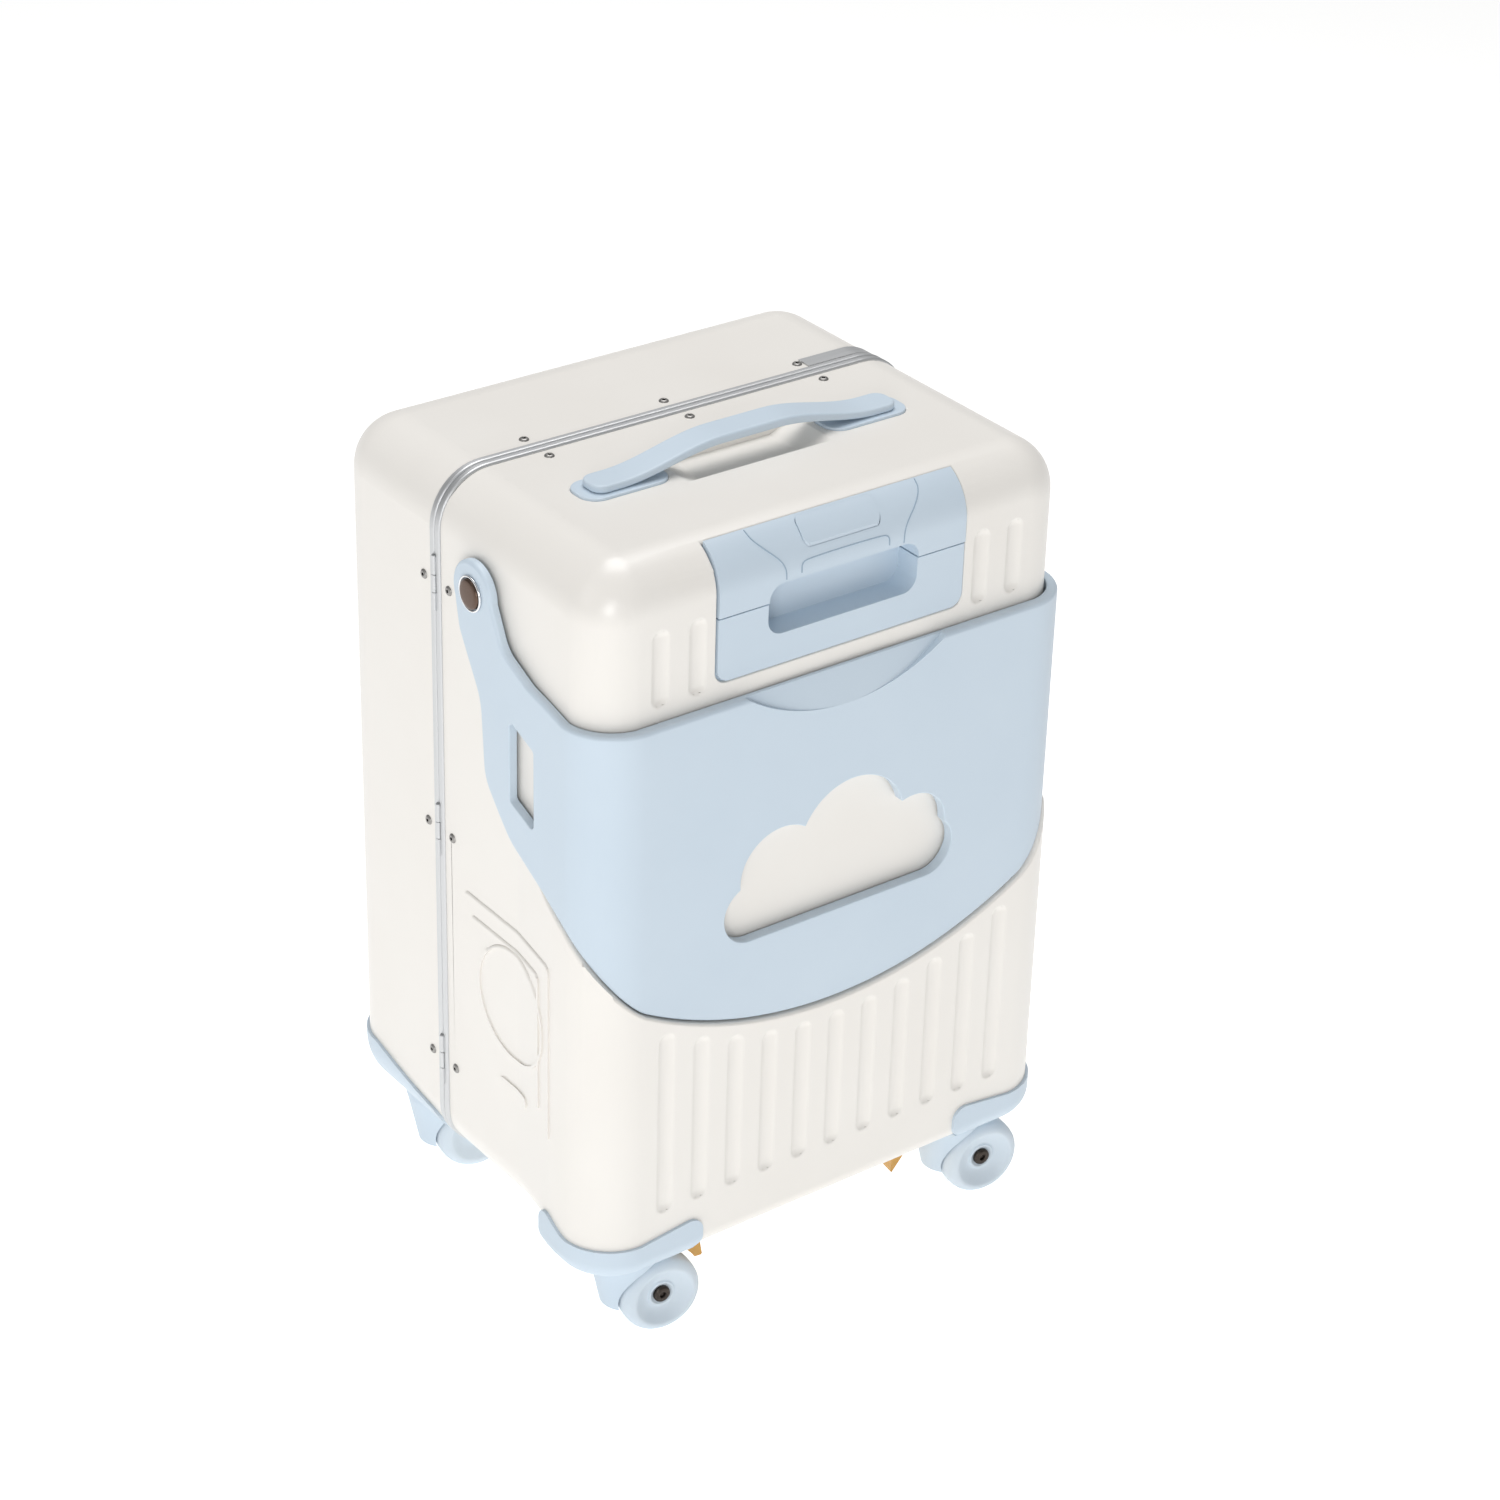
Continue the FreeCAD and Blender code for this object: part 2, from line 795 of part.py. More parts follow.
def build_cup():
    tray_points = rectangle(-cup_half_width - cup_margin, cup_half_width + cup_margin,
                            cup_low - cup_margin, far * 2, cup_corner + cup_margin)
    tray = upper_skin(-wall).common(front_prism(tray_points, tray_back, far))
    face_window = rounded_window(cup_half_width, cup_low, cup_split, cup_corner, tray_back, far)
    face = upper_skin(grip_proud / 2).common(face_window)
    recess = rounded_window(finger_half_width, finger_low, far * 2, finger_corner,
                            grip_back - pocket_gap, far)
    bores = tubes(tube_radius, 0, cup_low - cup_margin - over, cup_split)
    return joined([tray, face]).cut([trolley_pocket(), recess] + bores)


def button_prism(extra, low):
    """Upright block for the button or its pocket, from the height low through the grip's rounded top edge."""
    half_length = button_half_length + extra
    half_depth = button_half_depth + extra
    points = rectangle(-half_length, half_length, button_forward - half_depth, button_forward + half_depth,
                       button_corner + extra)
    return plan_prism(points, low, far * 2)


def build_grip():
    block_body = block(-cup_half_width, cup_half_width, grip_back, far, grip_low, far * 2)
    body = upper_skin(grip_proud).common(block_body)
    hole = [(-finger_half_width, cup_low, 0), (finger_half_width, cup_low, 0),
            (finger_half_width, finger_high, finger_corner), (-finger_half_width, finger_high, finger_corner)]
    pocket = button_prism(button_gap, button_low - button_travel - moving_gap)
    sockets = tubes(inner_radius, 0, grip_low - over, grip_low + socket_depth)
    return body.cut([front_prism(hole, 0, far), pocket] + sockets)


def build_button():
    return upper_skin(grip_proud + button_proud).common(button_prism(0, button_low))


def build_strap():
    low = strap_base
    high = low + strap_end_thickness
    crest = low + strap_thickness + strap_rise
    edge = strap_forward - strap_width / 2
    under = Part.Arc(at(-strap_half_length, edge, low), at(0, edge, low + strap_rise),
                     at(strap_half_length, edge, low)).toShape()
    top = Part.Arc(at(strap_half_length, edge, high), at(0, edge, crest),
                   at(-strap_half_length, edge, high)).toShape()
    right = Part.makeLine(at(strap_half_length, edge, low), at(strap_half_length, edge, high))
    left = Part.makeLine(at(-strap_half_length, edge, high), at(-strap_half_length, edge, low))
    body = Part.Face(Part.Wire([under, right, top, left])).extrude(FRONTWARD * strap_width)
    ends = [edge for edge in body.Edges
            if edge.BoundBox.ZLength > strap_end_thickness / 2 and edge.BoundBox.XLength < touch]
    parts = [body.makeFillet(strap_width / 2 - over, ends)]
    for x in (-post_place, post_place):
        foot = at(x, strap_forward, post_foot)
        parts.append(rod(foot, ALONG_Z, post_radius, post_top - post_foot))
        parts.append(rod(foot, ALONG_Z, post_head_radius, post_head_height))
    return joined(parts)


def pad_outline():
    low = strap_forward - pad_width / 2
    high = strap_forward + pad_width / 2
    return rectangle(pad_inner, pad_outer, low, high, pad_corner)


def build_pads():
    pad = plan_prism(pad_outline(), case_top - pad_sink, case_top + pad_proud)
    hole = rod(at(post_place, strap_forward, 0), ALONG_Z, post_radius + running_gap, far * 2)
    return Part.makeCompound(both_sides(pad.cut(hole)))


def handle_seat():
    """Inner thickening of the top wall under the carry handle."""
    half_width = scoop_width / 2 + wall
    points = rectangle(-pad_outer - wall, pad_outer + wall, strap_forward - half_width,
                       strap_forward + half_width, seat_corner)
    return plan_prism(points, case_top - scoop_depth - wall, case_top - wall / 2)


def handle_cuts():
    """Scoop for the fingers, seats for the pads and room for the strap's posts."""
    top = case_top + over
    low = case_top - scoop_depth
    mouth = scoop_half_length + scoop_lip
    floor = scoop_half_length - scoop_slope
    points = [(-mouth, top, 0), (-floor, low, scoop_round), (floor, low, scoop_round), (mouth, top, 0)]
    cuts = [front_prism(points, strap_forward - scoop_width / 2, strap_forward + scoop_width / 2)]
    cuts += both_sides(plan_prism(pad_outline(), case_top - pad_sink, top))
    head_low = low - wall - over
    for x in (-post_place, post_place):
        start = at(x, strap_forward, head_low)
        cuts.append(rod(start, ALONG_Z, post_radius + post_room, top - head_low))
        cuts.append(rod(start, ALONG_Z, post_head_radius + post_room, post_stop - head_low))
    return cuts


def pivot_boss():
    """Inner boss for a backrest pin on the right side."""
    start = at(case_half_width - pin_depth, pivot_forward, pivot_z)
    return rod(start, ALONG_X, pin_boss_radius, pin_depth - wall / 2)


def build_pin():
    start = at(case_half_width - pin_depth, pivot_forward, pivot_z)
    shank = rod(start, ALONG_X, pin_radius, arm_outer + moving_gap - case_half_width + pin_depth)
    cap = rod(at(arm_outer + moving_gap, pivot_forward, pivot_z), ALONG_X, pin_cap_radius, pin_cap_height)
    return joined([shank, cap])


def build_washers():
    length = arm_inner - moving_gap - case_half_width
    start = at(case_half_width, pivot_forward, pivot_z)
    washer = rod(start, ALONG_X, washer_radius, length).cut(rod(start, ALONG_X, pin_radius, length))
    return Part.makeCompound(both_sides(washer))


def caster_point(right, forward):
    return at(right * caster_side, forward, 0)


def in_place(shape, point):
    """Turn a caster piece from its own axes, where +X is the trail, and set it under its swivel."""
    shape.rotate(ORIGIN, ALONG_Z, caster_angle)
    shape.translate(point)
    return shape


def caster_bore(point):
    start = point + Vec(0, 0, housing_low - over)
    return rod(start, ALONG_Z, stem_radius + running_gap, stem_top + stem_roof - housing_low + over)


def cover_region(end, side, low, low_round, side_length, side_tip, end_length, end_tip, corner_top):
    """Space of a corner cover on the right: a tongue along the side and one round the end, from low up."""
    inside = end - side * side_length
    beyond = end + side * far
    bend = end - side * case_corner
    x_inside = belt_half_width - end_length
    x_bend = belt_half_width - case_corner
    end_points = [(x_inside, low, low_round), (far, low, 0), (far, corner_top, 0),
                  (x_bend, corner_top, housing_bend), (x_inside, end_tip, housing_round)]
    end_plate = front_prism(end_points, min(bend, beyond), max(bend, beyond))
    side_points = [(inside, low, low_round), (inside, side_tip, housing_round), (bend, corner_top, housing_bend),
                   (beyond, corner_top, 0), (beyond, low, 0)]
    return joined([end_plate, side_prism(side_points, x_bend, far)])


def front_cover_region():
    return cover_region(belt_reach, FRONT, housing_low_edge, housing_round, housing_length, housing_side_tip,
                        housing_front_length, housing_front_tip, housing_corner_top)


def rear_cover_region():
    return cover_region(-rear_reach, REAR, 0, 0, rear_housing_length, rear_housing_tip,
                        housing_length, rear_housing_back_tip, rear_housing_top)


def build_housing(right, forward, outer, inner, region):
    """Corner cover that wraps one bottom corner, with its floor and the swivel boss under it."""
    side = FRONT if forward > 0 else REAR
    near = forward - side * boss_radius
    beyond = side * far
    floor = block(caster_side - boss_radius, far, min(near, beyond), max(near, beyond), 0, housing_low_edge)
    whole = joined([region, floor])
    if right < 0:
        whole = mirrored(whole)
    point = caster_point(right, forward)
    boss_top = case_bottom + toe_radius
    boss = rod(point + Vec(0, 0, housing_low), ALONG_Z, boss_radius, boss_top - housing_low)
    return joined([outer.common(whole), boss]).cut([inner, caster_bore(point)])


def build_fork(point, lever_side):
    """Swivel plate with its stem and hood, the web between the wheels, and a tongue for a lever if there is one."""
    plate = rod(Vec(0, 0, fork_plate_low), ALONG_Z, fork_plate_radius, fork_plate_height)
    stem = rod(Vec(0, 0, fork_plate_high - over), ALONG_Z, stem_radius, stem_height + over)
    half = web_width / 2
    top = fork_plate_low + over
    boss = axle_boss_radius - touch
    points = [Vec(-web_front, -half, top), Vec(-web_toe, -half, top - web_toe_depth - over),
              Vec(trail - boss, -half, wheel_radius - web_lean),
              Vec(trail + boss, -half, wheel_radius + web_lean),
              Vec(fork_plate_radius - web_lean, -half, top), Vec(-web_front, -half, top)]
    web = Part.Face(Part.makePolygon(points)).extrude(Vec(0, web_width, 0))
    hub = rod(Vec(trail, -half, wheel_radius), ALONG_Y, axle_boss_radius, web_width)
    hood_height = fork_plate_low - hood_low + over
    hood = Part.makeCone(hood_low_radius, fork_plate_radius, hood_height, Vec(0, 0, hood_low))
    for side in (-1, 1):
        start = Vec(trail, side * half, wheel_radius)
        hood = hood.cut(rod(start, ALONG_Y * side, wheel_radius + wheel_headroom, far))
    parts = [plate, stem, hood, web, hub]
    cuts = [rod(Vec(trail, -half - over, wheel_radius), ALONG_Y, axle_radius, web_width + 2 * over)]
    if lever_side:
        tongue_start = fork_plate_radius * 2 / 3
        tongue_depth = lever_pin_radius + tongue_wall
        tongue_length = lever_pin_place + tongue_tip - tongue_start
        tongue = Part.makeBox(tongue_length, 2 * tongue_half_width, 2 * tongue_depth,
                              Vec(tongue_start, -tongue_half_width, lever_z - tongue_depth))
        hole = rod(Vec(lever_pin_place, -far, lever_z), ALONG_Y, lever_pin_radius + running_gap, 2 * far)
        if lever_side < 0:
            tongue = mirrored(tongue)
            hole = mirrored(hole)
        parts.append(tongue)
        cuts.append(hole)
    return in_place(joined(parts).cut(cuts), point)


def build_lever(point, lever_side):
    """Brake lever: two cheeks beside the tongue, the pin through them and the tread.

    A tread over the wheels is hollowed to clear them. One that points away from them slopes further down.
    """
    gap = tongue_half_width + moving_gap
    cheek = lever_half_width - gap
    low = lever_z - lever_thickness + tread_toe
    high = lever_z + lever_thickness
    start = lever_pin_place + tread_start
    parts = []
    for y in (-lever_half_width, gap):
        parts.append(rod(Vec(lever_pin_place, y, lever_z), ALONG_Y, lever_thickness, cheek))
        parts.append(Part.makeBox(tread_start + over, cheek, high - low, Vec(lever_pin_place, y, low)))
    over_wheels = lever_side > 0
    tip = wheel_radius + (tread_rise if over_wheels else free_tread_rise)
    root = tip if over_wheels else low
    tread = [Vec(start, -lever_half_width, root), Vec(lever_reach - tread_toe, -lever_half_width, tip),
             Vec(lever_reach, -lever_half_width, tip + tread_toe),
             Vec(lever_reach - tread_brow, -lever_half_width, high - tread_toe),
             Vec(start, -lever_half_width, high), Vec(start, -lever_half_width, root)]
    solid_tread = Part.Face(Part.makePolygon(tread)).extrude(Vec(0, 2 * lever_half_width, 0))
    if over_wheels:
        wheel_room = rod(Vec(trail, -far, wheel_radius), ALONG_Y, wheel_radius + tread_room, 2 * far)
        solid_tread = solid_tread.cut(wheel_room)
    parts.append(solid_tread)
    pin_start = Vec(lever_pin_place, -lever_half_width, lever_z)
    parts.append(rod(pin_start, ALONG_Y, lever_pin_radius, 2 * lever_half_width))
    lever = joined(parts)
    if lever_side < 0:
        lever = mirrored(lever)
    return in_place(lever, point)


def build_axle(point):
    head_at = web_width / 2 + wheel_side_gap + wheel_width - dish_depth + moving_gap
    parts = [rod(Vec(trail, -head_at, wheel_radius), ALONG_Y, axle_radius, 2 * head_at)]
    for y in (-head_at - axle_head_height, head_at):
        parts.append(rod(Vec(trail, y, wheel_radius), ALONG_Y, axle_head_radius, axle_head_height))
    return in_place(joined(parts), point)


def build_wheel(point, side):
    """Wheel turned from its half profile; side is -1 for the face on local -Y."""
    near = web_width / 2 + wheel_side_gap
    away = near + wheel_width
    bore = axle_radius + running_gap
    profile = [(bore, near, 0), (wheel_radius, near, wheel_shoulder / 2),
               (wheel_radius, away, wheel_shoulder),
               (dish_radius + rim_width, away, 0), (dish_radius + rim_width / 2, away + rim_rise, 0),
               (dish_radius, away, 0), (axle_head_radius + over, away - dish_depth, dish_round),
               (bore, away - dish_depth, 0)]
    wire = outline(profile, lambda p: Vec(p.x, side * p.y, 0))
    wheel = Part.Face(wire).revolve(ORIGIN, ALONG_Y, 360)
    wheel.translate(Vec(trail, 0, wheel_radius))
    return in_place(wheel, point)


def build_latch_bases():
    bases = []
    eye_radius = latch_lever_thickness / 2
    for z in latch_places:
        low = z - latch_rib_half_height
        high = z + latch_rib_half_height
        plate = block(case_half_width, latch_face, plate_start, latch_forward,
                      z - latch_half_height, z + latch_half_height)
        rib = block(case_half_width, latch_pin_x, latch_pin_forward - eye_radius,
                    latch_pin_forward + eye_radius, low, high)
        eye = rod(at(latch_pin_x, latch_pin_forward, low), ALONG_Z, eye_radius, high - low)
        hole_start = at(latch_pin_x, latch_pin_forward, z - far)
        hole = rod(hole_start, ALONG_Z, latch_pin_radius + running_gap, 2 * far)
        bases.append(joined([plate, rib, eye]).cut(hole))
    return Part.makeCompound(bases)


def build_latch_lever(z):
    half = latch_half_height - latch_side_margin
    low = latch_face + moving_gap
    plate = block(low, low + latch_lever_thickness, -latch_lever_back, latch_pin_forward, z - half, z + half)
    start = at(latch_pin_x, latch_pin_forward, z - half)
    barrel = rod(start, ALONG_Z, latch_lever_thickness / 2, 2 * half)
    notch_half = latch_rib_half_height + moving_gap
    notch_start = latch_pin_forward - latch_lever_thickness / 2 - 2 * moving_gap
    notch = block(0, far, notch_start, far, z - notch_half, z + notch_half)
    pin = rod(start, ALONG_Z, latch_pin_radius, 2 * half)
    return joined([joined([plate, barrel]).cut(notch), pin])


def build_strikes():
    strikes = []
    half = latch_half_height - latch_side_margin
    for z in latch_places:
        strikes.append(block(case_half_width, latch_face, -plate_start - strike_length, -plate_start,
                             z - half, z + half))
    return Part.makeCompound(strikes)


def build_lock_plate():
    plate = block(case_half_width, latch_face + over, plate_start, latch_forward,
                  lock_z - lock_half_height, lock_z + lock_half_height)
    hole = rod(at(0, lock_forward, lock_z), ALONG_X, lock_barrel_radius + running_gap, far)
    return plate.cut(hole)


def build_lock_barrel():
    start = case_half_width + moving_gap
    barrel = rod(at(start, lock_forward, lock_z), ALONG_X, lock_barrel_radius, lock_barrel_length)
    slot = block(start + lock_barrel_length - key_slot_depth, far,
                 lock_forward - key_slot_width / 2, lock_forward + key_slot_width / 2,
                 lock_z - key_slot_height / 2, lock_z + key_slot_height / 2)
    return barrel.cut(slot)


def rivet_room():
    room = []
    for point, out in rivet_places(REAR):
        room.append(rod(point, out, rivet_head_radius + rail_rivet_room, rail_proud + over))
    return room


def build_rail():
    """Thin metal strip on the rear shell beside the frame, over the right-hand top corner."""
    grown = frame_ring(rail_proud, 0, -rail_start - rail_width, -rail_start)
    low = latch_places[1] + latch_half_height + rail_above_latch
    keep = block(rail_from_x, far, -far, far, low, far * 2)
    return grown.common(keep).cut(rivet_room())


def caster_housing_bores(forward):
    return [caster_bore(caster_point(right, forward)) for right in (-1, 1)]


def above_edge(shift):
    """Everything above the backrest's lower edge, moved by shift, round the front and both sides."""
    corners = both_sides(corner_above_edge(shift))
    sides = both_sides(side_above_edge(shift))
    return [front_above_edge(shift)] + corners + sides


# Front half
upper_outer = upper_skin(0)
upper_inner = half_body(FRONT, -wall, 0, upper_reach, upper_edge_radius)
belt_solid = belt_with_toe()
belt_outer = belt_solid.cut(above_edge(-belt_gap))
belt_inner = belt_body(-belt_wall, case_corner).cut(above_edge(-belt_gap - belt_wall))
relief_upper = half_body(FRONT, relief_height, shell_edge, upper_reach, upper_edge_radius)
relief_body = joined([relief_upper, belt_body(relief_height, case_corner)])
relief = side_relief(relief_body)

front_outer = joined([upper_outer, belt_outer] + both_sides(relief))
front_shell = front_outer.cut(upper_inner).cut(belt_inner)
bosses = both_sides(pivot_boss().common(upper_outer))
front_shell = joined([front_shell, handle_seat().common(upper_outer)] + bosses)

cuts = handle_cuts() + rivet_holes(FRONT)
cuts.append(rounded_window(cup_half_width + pocket_gap, cup_low - pocket_gap, far * 2, cup_corner,
                           grip_back - pocket_gap, far))
cuts.append(rod(at(-far, pivot_forward, pivot_z), ALONG_X, pin_radius, 2 * far))
for index in range(flute_count):
    x = (index - (flute_count - 1) / 2) * flute_spacing
    cuts.append(flute(x, belt_reach, flute_low, edge_height_at_front(x) - flute_margin))
for place in upper_flute_places:
    for x in (-place, place):
        cuts.append(flute(x, upper_reach, upper_flute_low, upper_flute_high))
cuts = cuts + caster_housing_bores(front_caster_forward)
front_shell = front_shell.cut(cuts)

# Rear half
rear_outer = half_body(REAR, 0, shell_edge, rear_reach, rear_edge_radius)
rear_inner = half_body(REAR, -wall, 0, rear_reach, rear_edge_radius)
rear_shell = rear_outer.cut(rear_inner).cut(rivet_holes(REAR) + caster_housing_bores(rear_caster_forward))

board_slice = block(-far, far, board_front - board_thickness, board_front, 0, far * 2)

nodes = {
    "front_shell": front_shell,
    "rear_shell": rear_shell,
    "front_frame": build_frame(FRONT),
    "rear_frame": build_frame(REAR),
    "front_rivets": build_rivets(FRONT),
    "rear_rivets": build_rivets(REAR),
    "hinge_leaves_front": build_hinge_leaves(FRONT),
    "hinge_leaves_rear": build_hinge_leaves(REAR),
    "hinge_pins": build_hinge_pins(),
    "backrest": build_backrest(),
    "backrest_pin_right": build_pin(),
    "backrest_pin_left": mirrored(build_pin()),
    "backrest_washers": build_washers(),
    "trolley_cup": build_cup(),
    "trolley_outer_tubes": Part.makeCompound(tubes(tube_radius, tube_inner, tube_foot, cup_split)),
    "trolley_middle_tubes": Part.makeCompound(tubes(middle_radius, middle_inner, middle_foot, cup_split)),
    "trolley_inner_tubes": Part.makeCompound(tubes(inner_radius, inner_hole, inner_foot, inner_top)),
    "trolley_grip": build_grip(),
    "trolley_button": build_button(),
    "carry_strap": build_strap(),
    "carry_pads": build_pads(),
    "latch_bases": build_latch_bases(),
    "latch_lever_low": build_latch_lever(latch_places[0]),
    "latch_lever_high": build_latch_lever(latch_places[1]),
    "latch_strikes": build_strikes(),
    "lock_plate": build_lock_plate(),
    "lock_barrel": build_lock_barrel(),
    "latch_rail": build_rail(),
    "tube_board": upper_inner.common(board_slice),
}

front_grown = belt_body(housing_skin, toe_radius)
rear_grown = half_body(REAR, housing_skin, shell_edge, rear_reach, rear_edge_radius)
for right, side_name in ((-1, "left"), (1, "right")):
    ends = (("front", front_caster_forward, -right), ("rear", rear_caster_forward, 0))
    for end_name, forward, lever_side in ends:
        name = end_name + "_" + side_name
        point = caster_point(right, forward)
        if end_name == "front":
            housing = build_housing(right, forward, front_grown, belt_solid, front_cover_region())
        else:
            housing = build_housing(right, forward, rear_grown, rear_outer, rear_cover_region())
        nodes["housing_" + name] = housing
        nodes["fork_" + name] = build_fork(point, lever_side)
        nodes["axle_" + name] = build_axle(point)
        nodes["wheel_outer_" + name] = build_wheel(point, -1)
        nodes["wheel_inner_" + name] = build_wheel(point, 1)
        if lever_side:
            nodes["brake_lever_" + name] = build_lever(point, lever_side)

for name, shape in nodes.items():
    shape.exportStep("parts/" + name + ".step")
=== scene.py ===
# %% [markdown]
# # A ride-on suitcase
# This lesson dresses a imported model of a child's ride-on suitcase. The solids arrive at their real size, in
# metres, and stay where they are. We add the looks: soft moulded edges, turned wheels and rivets, and
# finishes. Working on top of a fixed frame means that nothing has to be fitted by eye.

# %% Load the frame
import json
import math
import bmesh
import bpy
from mathutils import Matrix, Quaternion, Vector

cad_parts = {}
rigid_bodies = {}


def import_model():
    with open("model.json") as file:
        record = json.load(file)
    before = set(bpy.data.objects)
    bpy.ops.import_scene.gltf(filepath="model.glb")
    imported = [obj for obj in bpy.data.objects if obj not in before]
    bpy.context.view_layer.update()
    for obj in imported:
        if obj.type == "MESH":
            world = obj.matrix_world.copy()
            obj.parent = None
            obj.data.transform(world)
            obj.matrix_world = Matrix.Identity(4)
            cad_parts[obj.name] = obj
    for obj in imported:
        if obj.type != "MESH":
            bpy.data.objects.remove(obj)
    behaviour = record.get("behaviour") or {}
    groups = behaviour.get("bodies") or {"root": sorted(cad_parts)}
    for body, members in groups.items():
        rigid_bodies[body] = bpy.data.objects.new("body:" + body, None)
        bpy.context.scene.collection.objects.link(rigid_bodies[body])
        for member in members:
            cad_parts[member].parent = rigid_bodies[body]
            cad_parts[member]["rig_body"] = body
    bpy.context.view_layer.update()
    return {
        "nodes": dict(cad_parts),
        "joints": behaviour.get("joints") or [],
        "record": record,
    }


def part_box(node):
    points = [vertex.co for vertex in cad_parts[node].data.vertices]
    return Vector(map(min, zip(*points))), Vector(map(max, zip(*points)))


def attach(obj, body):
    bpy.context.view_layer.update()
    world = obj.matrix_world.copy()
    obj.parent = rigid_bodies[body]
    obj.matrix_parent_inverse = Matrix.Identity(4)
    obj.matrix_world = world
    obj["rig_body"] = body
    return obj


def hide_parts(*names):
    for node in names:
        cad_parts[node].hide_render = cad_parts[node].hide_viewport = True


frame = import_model()
nodes = frame["nodes"]
joints = {joint["name"]: joint for joint in frame["joints"]}
slot_of = {part["node"]: part["material_slot"] for part in frame["record"]["subparts"]}
body_of = {name: node["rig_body"] for name, node in nodes.items()}
mm = 0.001

# %% [markdown]
# ## Camera
# A product picture like this is taken from a little above, with a long lens that keeps the case's edges
# almost parallel. The place, direction and lens were found by matching rivets, flutes and edges. A lens
# shift would straighten the edges more, but every other view would then be off centre, so the lens looks
# straight ahead.

# %% Camera
picture_pixels = 1500
focal_pixels = 3748.6
camera_place = Vector((-1.2935, -1.7557, 1.5758))
view_direction = Vector((0.52702, 0.69282, -0.49219))
camera_roll = math.radians(1.68)

scene = bpy.context.scene
camera = bpy.data.objects.new("camera", bpy.data.cameras.new("camera"))
camera.data.sensor_width = 36.0
camera.data.lens = focal_pixels / picture_pixels * camera.data.sensor_width
camera.location = camera_place
level = view_direction.to_track_quat("-Z", "Y")
camera.rotation_euler = (level @ Quaternion((0, 0, 1), camera_roll)).to_euler()
scene.collection.objects.link(camera)
bpy.context.scene.camera = camera
print("lens", round(camera.data.lens, 1), "mm")

# %% [markdown]
# ## Light
# The picture is high key: white all round, with the left side brightest and the fluted front a little
# darker. A white world gives the even base. One softbox lights the left side, one above lights the lid, and
# one at the front left corner rakes across the flutes, so that each has a bright wall and a shaded one.

# %% Light
scene.view_settings.view_transform = "Standard"
world = bpy.data.worlds.new("light_tent")
world.use_nodes = True
backdrop = world.node_tree.nodes["Background"]
backdrop.inputs["Color"].default_value = (1.0, 1.0, 1.0, 1.0)
backdrop.inputs["Strength"].default_value = 0.35
scene.world = world
aim = Vector((0, 0, 0.3))


def softbox(name, place, size, power):
    """A square area light at a place, turned to the middle of the case; size in metres, power in watts."""
    lamp = bpy.data.lights.new(name, "AREA")
    lamp.size = size
    lamp.energy = power
    box = bpy.data.objects.new(name, lamp)
    box.location = place
    box.rotation_euler = (aim - Vector(place)).to_track_quat("-Z", "Y").to_euler()
    scene.collection.objects.link(box)


softbox("left_softbox", place=(-2.3, 0.2, 1.4), size=1.2, power=3.6)
softbox("top_softbox", place=(0.3, 0.4, 2.6), size=1.4, power=30.0)
softbox("corner_softbox", place=(-2.0, -2.2, 1.1), size=0.9, power=23.0)
print("three softboxes in a white world")

# %% [markdown]
# ## How the finishes are written
# A colour is picked as an sRGB hex value, which has to be turned into linear light before it goes on a
# shader. Node trees get long, so one small function adds a node with its settings, values and links.
# Patterns read Object coordinates, which are metres here, so a grain of so many millimetres sets a
# texture's scale. On a real surface colour and gloss change together, so one pattern drives both.


# %% Colour and node helpers
def linear(hex_colour):
    """sRGB hex value as linear red, green, blue and full alpha."""
    channels = [int(hex_colour[start:start + 2], 16) / 255 for start in (0, 2, 4)]
    return tuple(c / 12.92 if c <= 0.04045 else ((c + 0.055) / 1.055) ** 2.4 for c in channels) + (1.0,)


def add(tree, kind, values=None, links=None, **settings):
    """Add one node, set it up, and link its inputs from other nodes' outputs."""
    node = tree.nodes.new(kind)
    for name, value in settings.items():
        setattr(node, name, value)
    for socket, value in (values or {}).items():
        node.inputs[socket].default_value = value
    for socket, output in (links or {}).items():
        tree.links.new(output, node.inputs[socket])
    return node


def per(grain_mm):
    """Texture scale for a grain of that many millimetres."""
    return 1.0 / (grain_mm * mm)


def start_finish(name, values):
    """A material whose Principled shader has these values on its sockets, and its Object coordinates."""
    finish = bpy.data.materials.new(name)
    finish.use_nodes = True
    tree = finish.node_tree
    shader = tree.nodes["Principled BSDF"]
    for socket, value in values.items():
        shader.inputs[socket].default_value = value
    place = add(tree, "ShaderNodeTexCoord").outputs["Object"]
    return finish, tree, shader, place


# A Mix node has sockets of the same name for numbers, vectors and colours. These are the ones for colours.
first_colour = 6
second_colour = 7
mixed_colour = 2


def drift(tree, shader, pattern, dark, light, rough, swing):
    """Let a pattern drive colour and gloss: between two near tones, and to both sides of one roughness."""
    tone = add(tree, "ShaderNodeMix", {first_colour: linear(dark), second_colour: linear(light)},
               {"Factor": pattern}, data_type="RGBA")
    tree.links.new(tone.outputs[mixed_colour], shader.inputs["Base Color"])
    gloss = add(tree, "ShaderNodeMapRange", {"To Min": rough - swing, "To Max": rough + swing},
                {"Value": pattern})
    tree.links.new(gloss.outputs["Result"], shader.inputs["Roughness"])


# %% [markdown]
# ## Moulded plastics
# The shells are polycarbonate sheet drawn over a mould: warm white, semi-gloss, with the faint ripple
# called orange peel. The blue pieces are injection-moulded ABS from a spark-eroded mould, so they are satin
# with a fine even grain. Both vary a little in colour over a hand's width, which keeps large faces from
# looking flat.


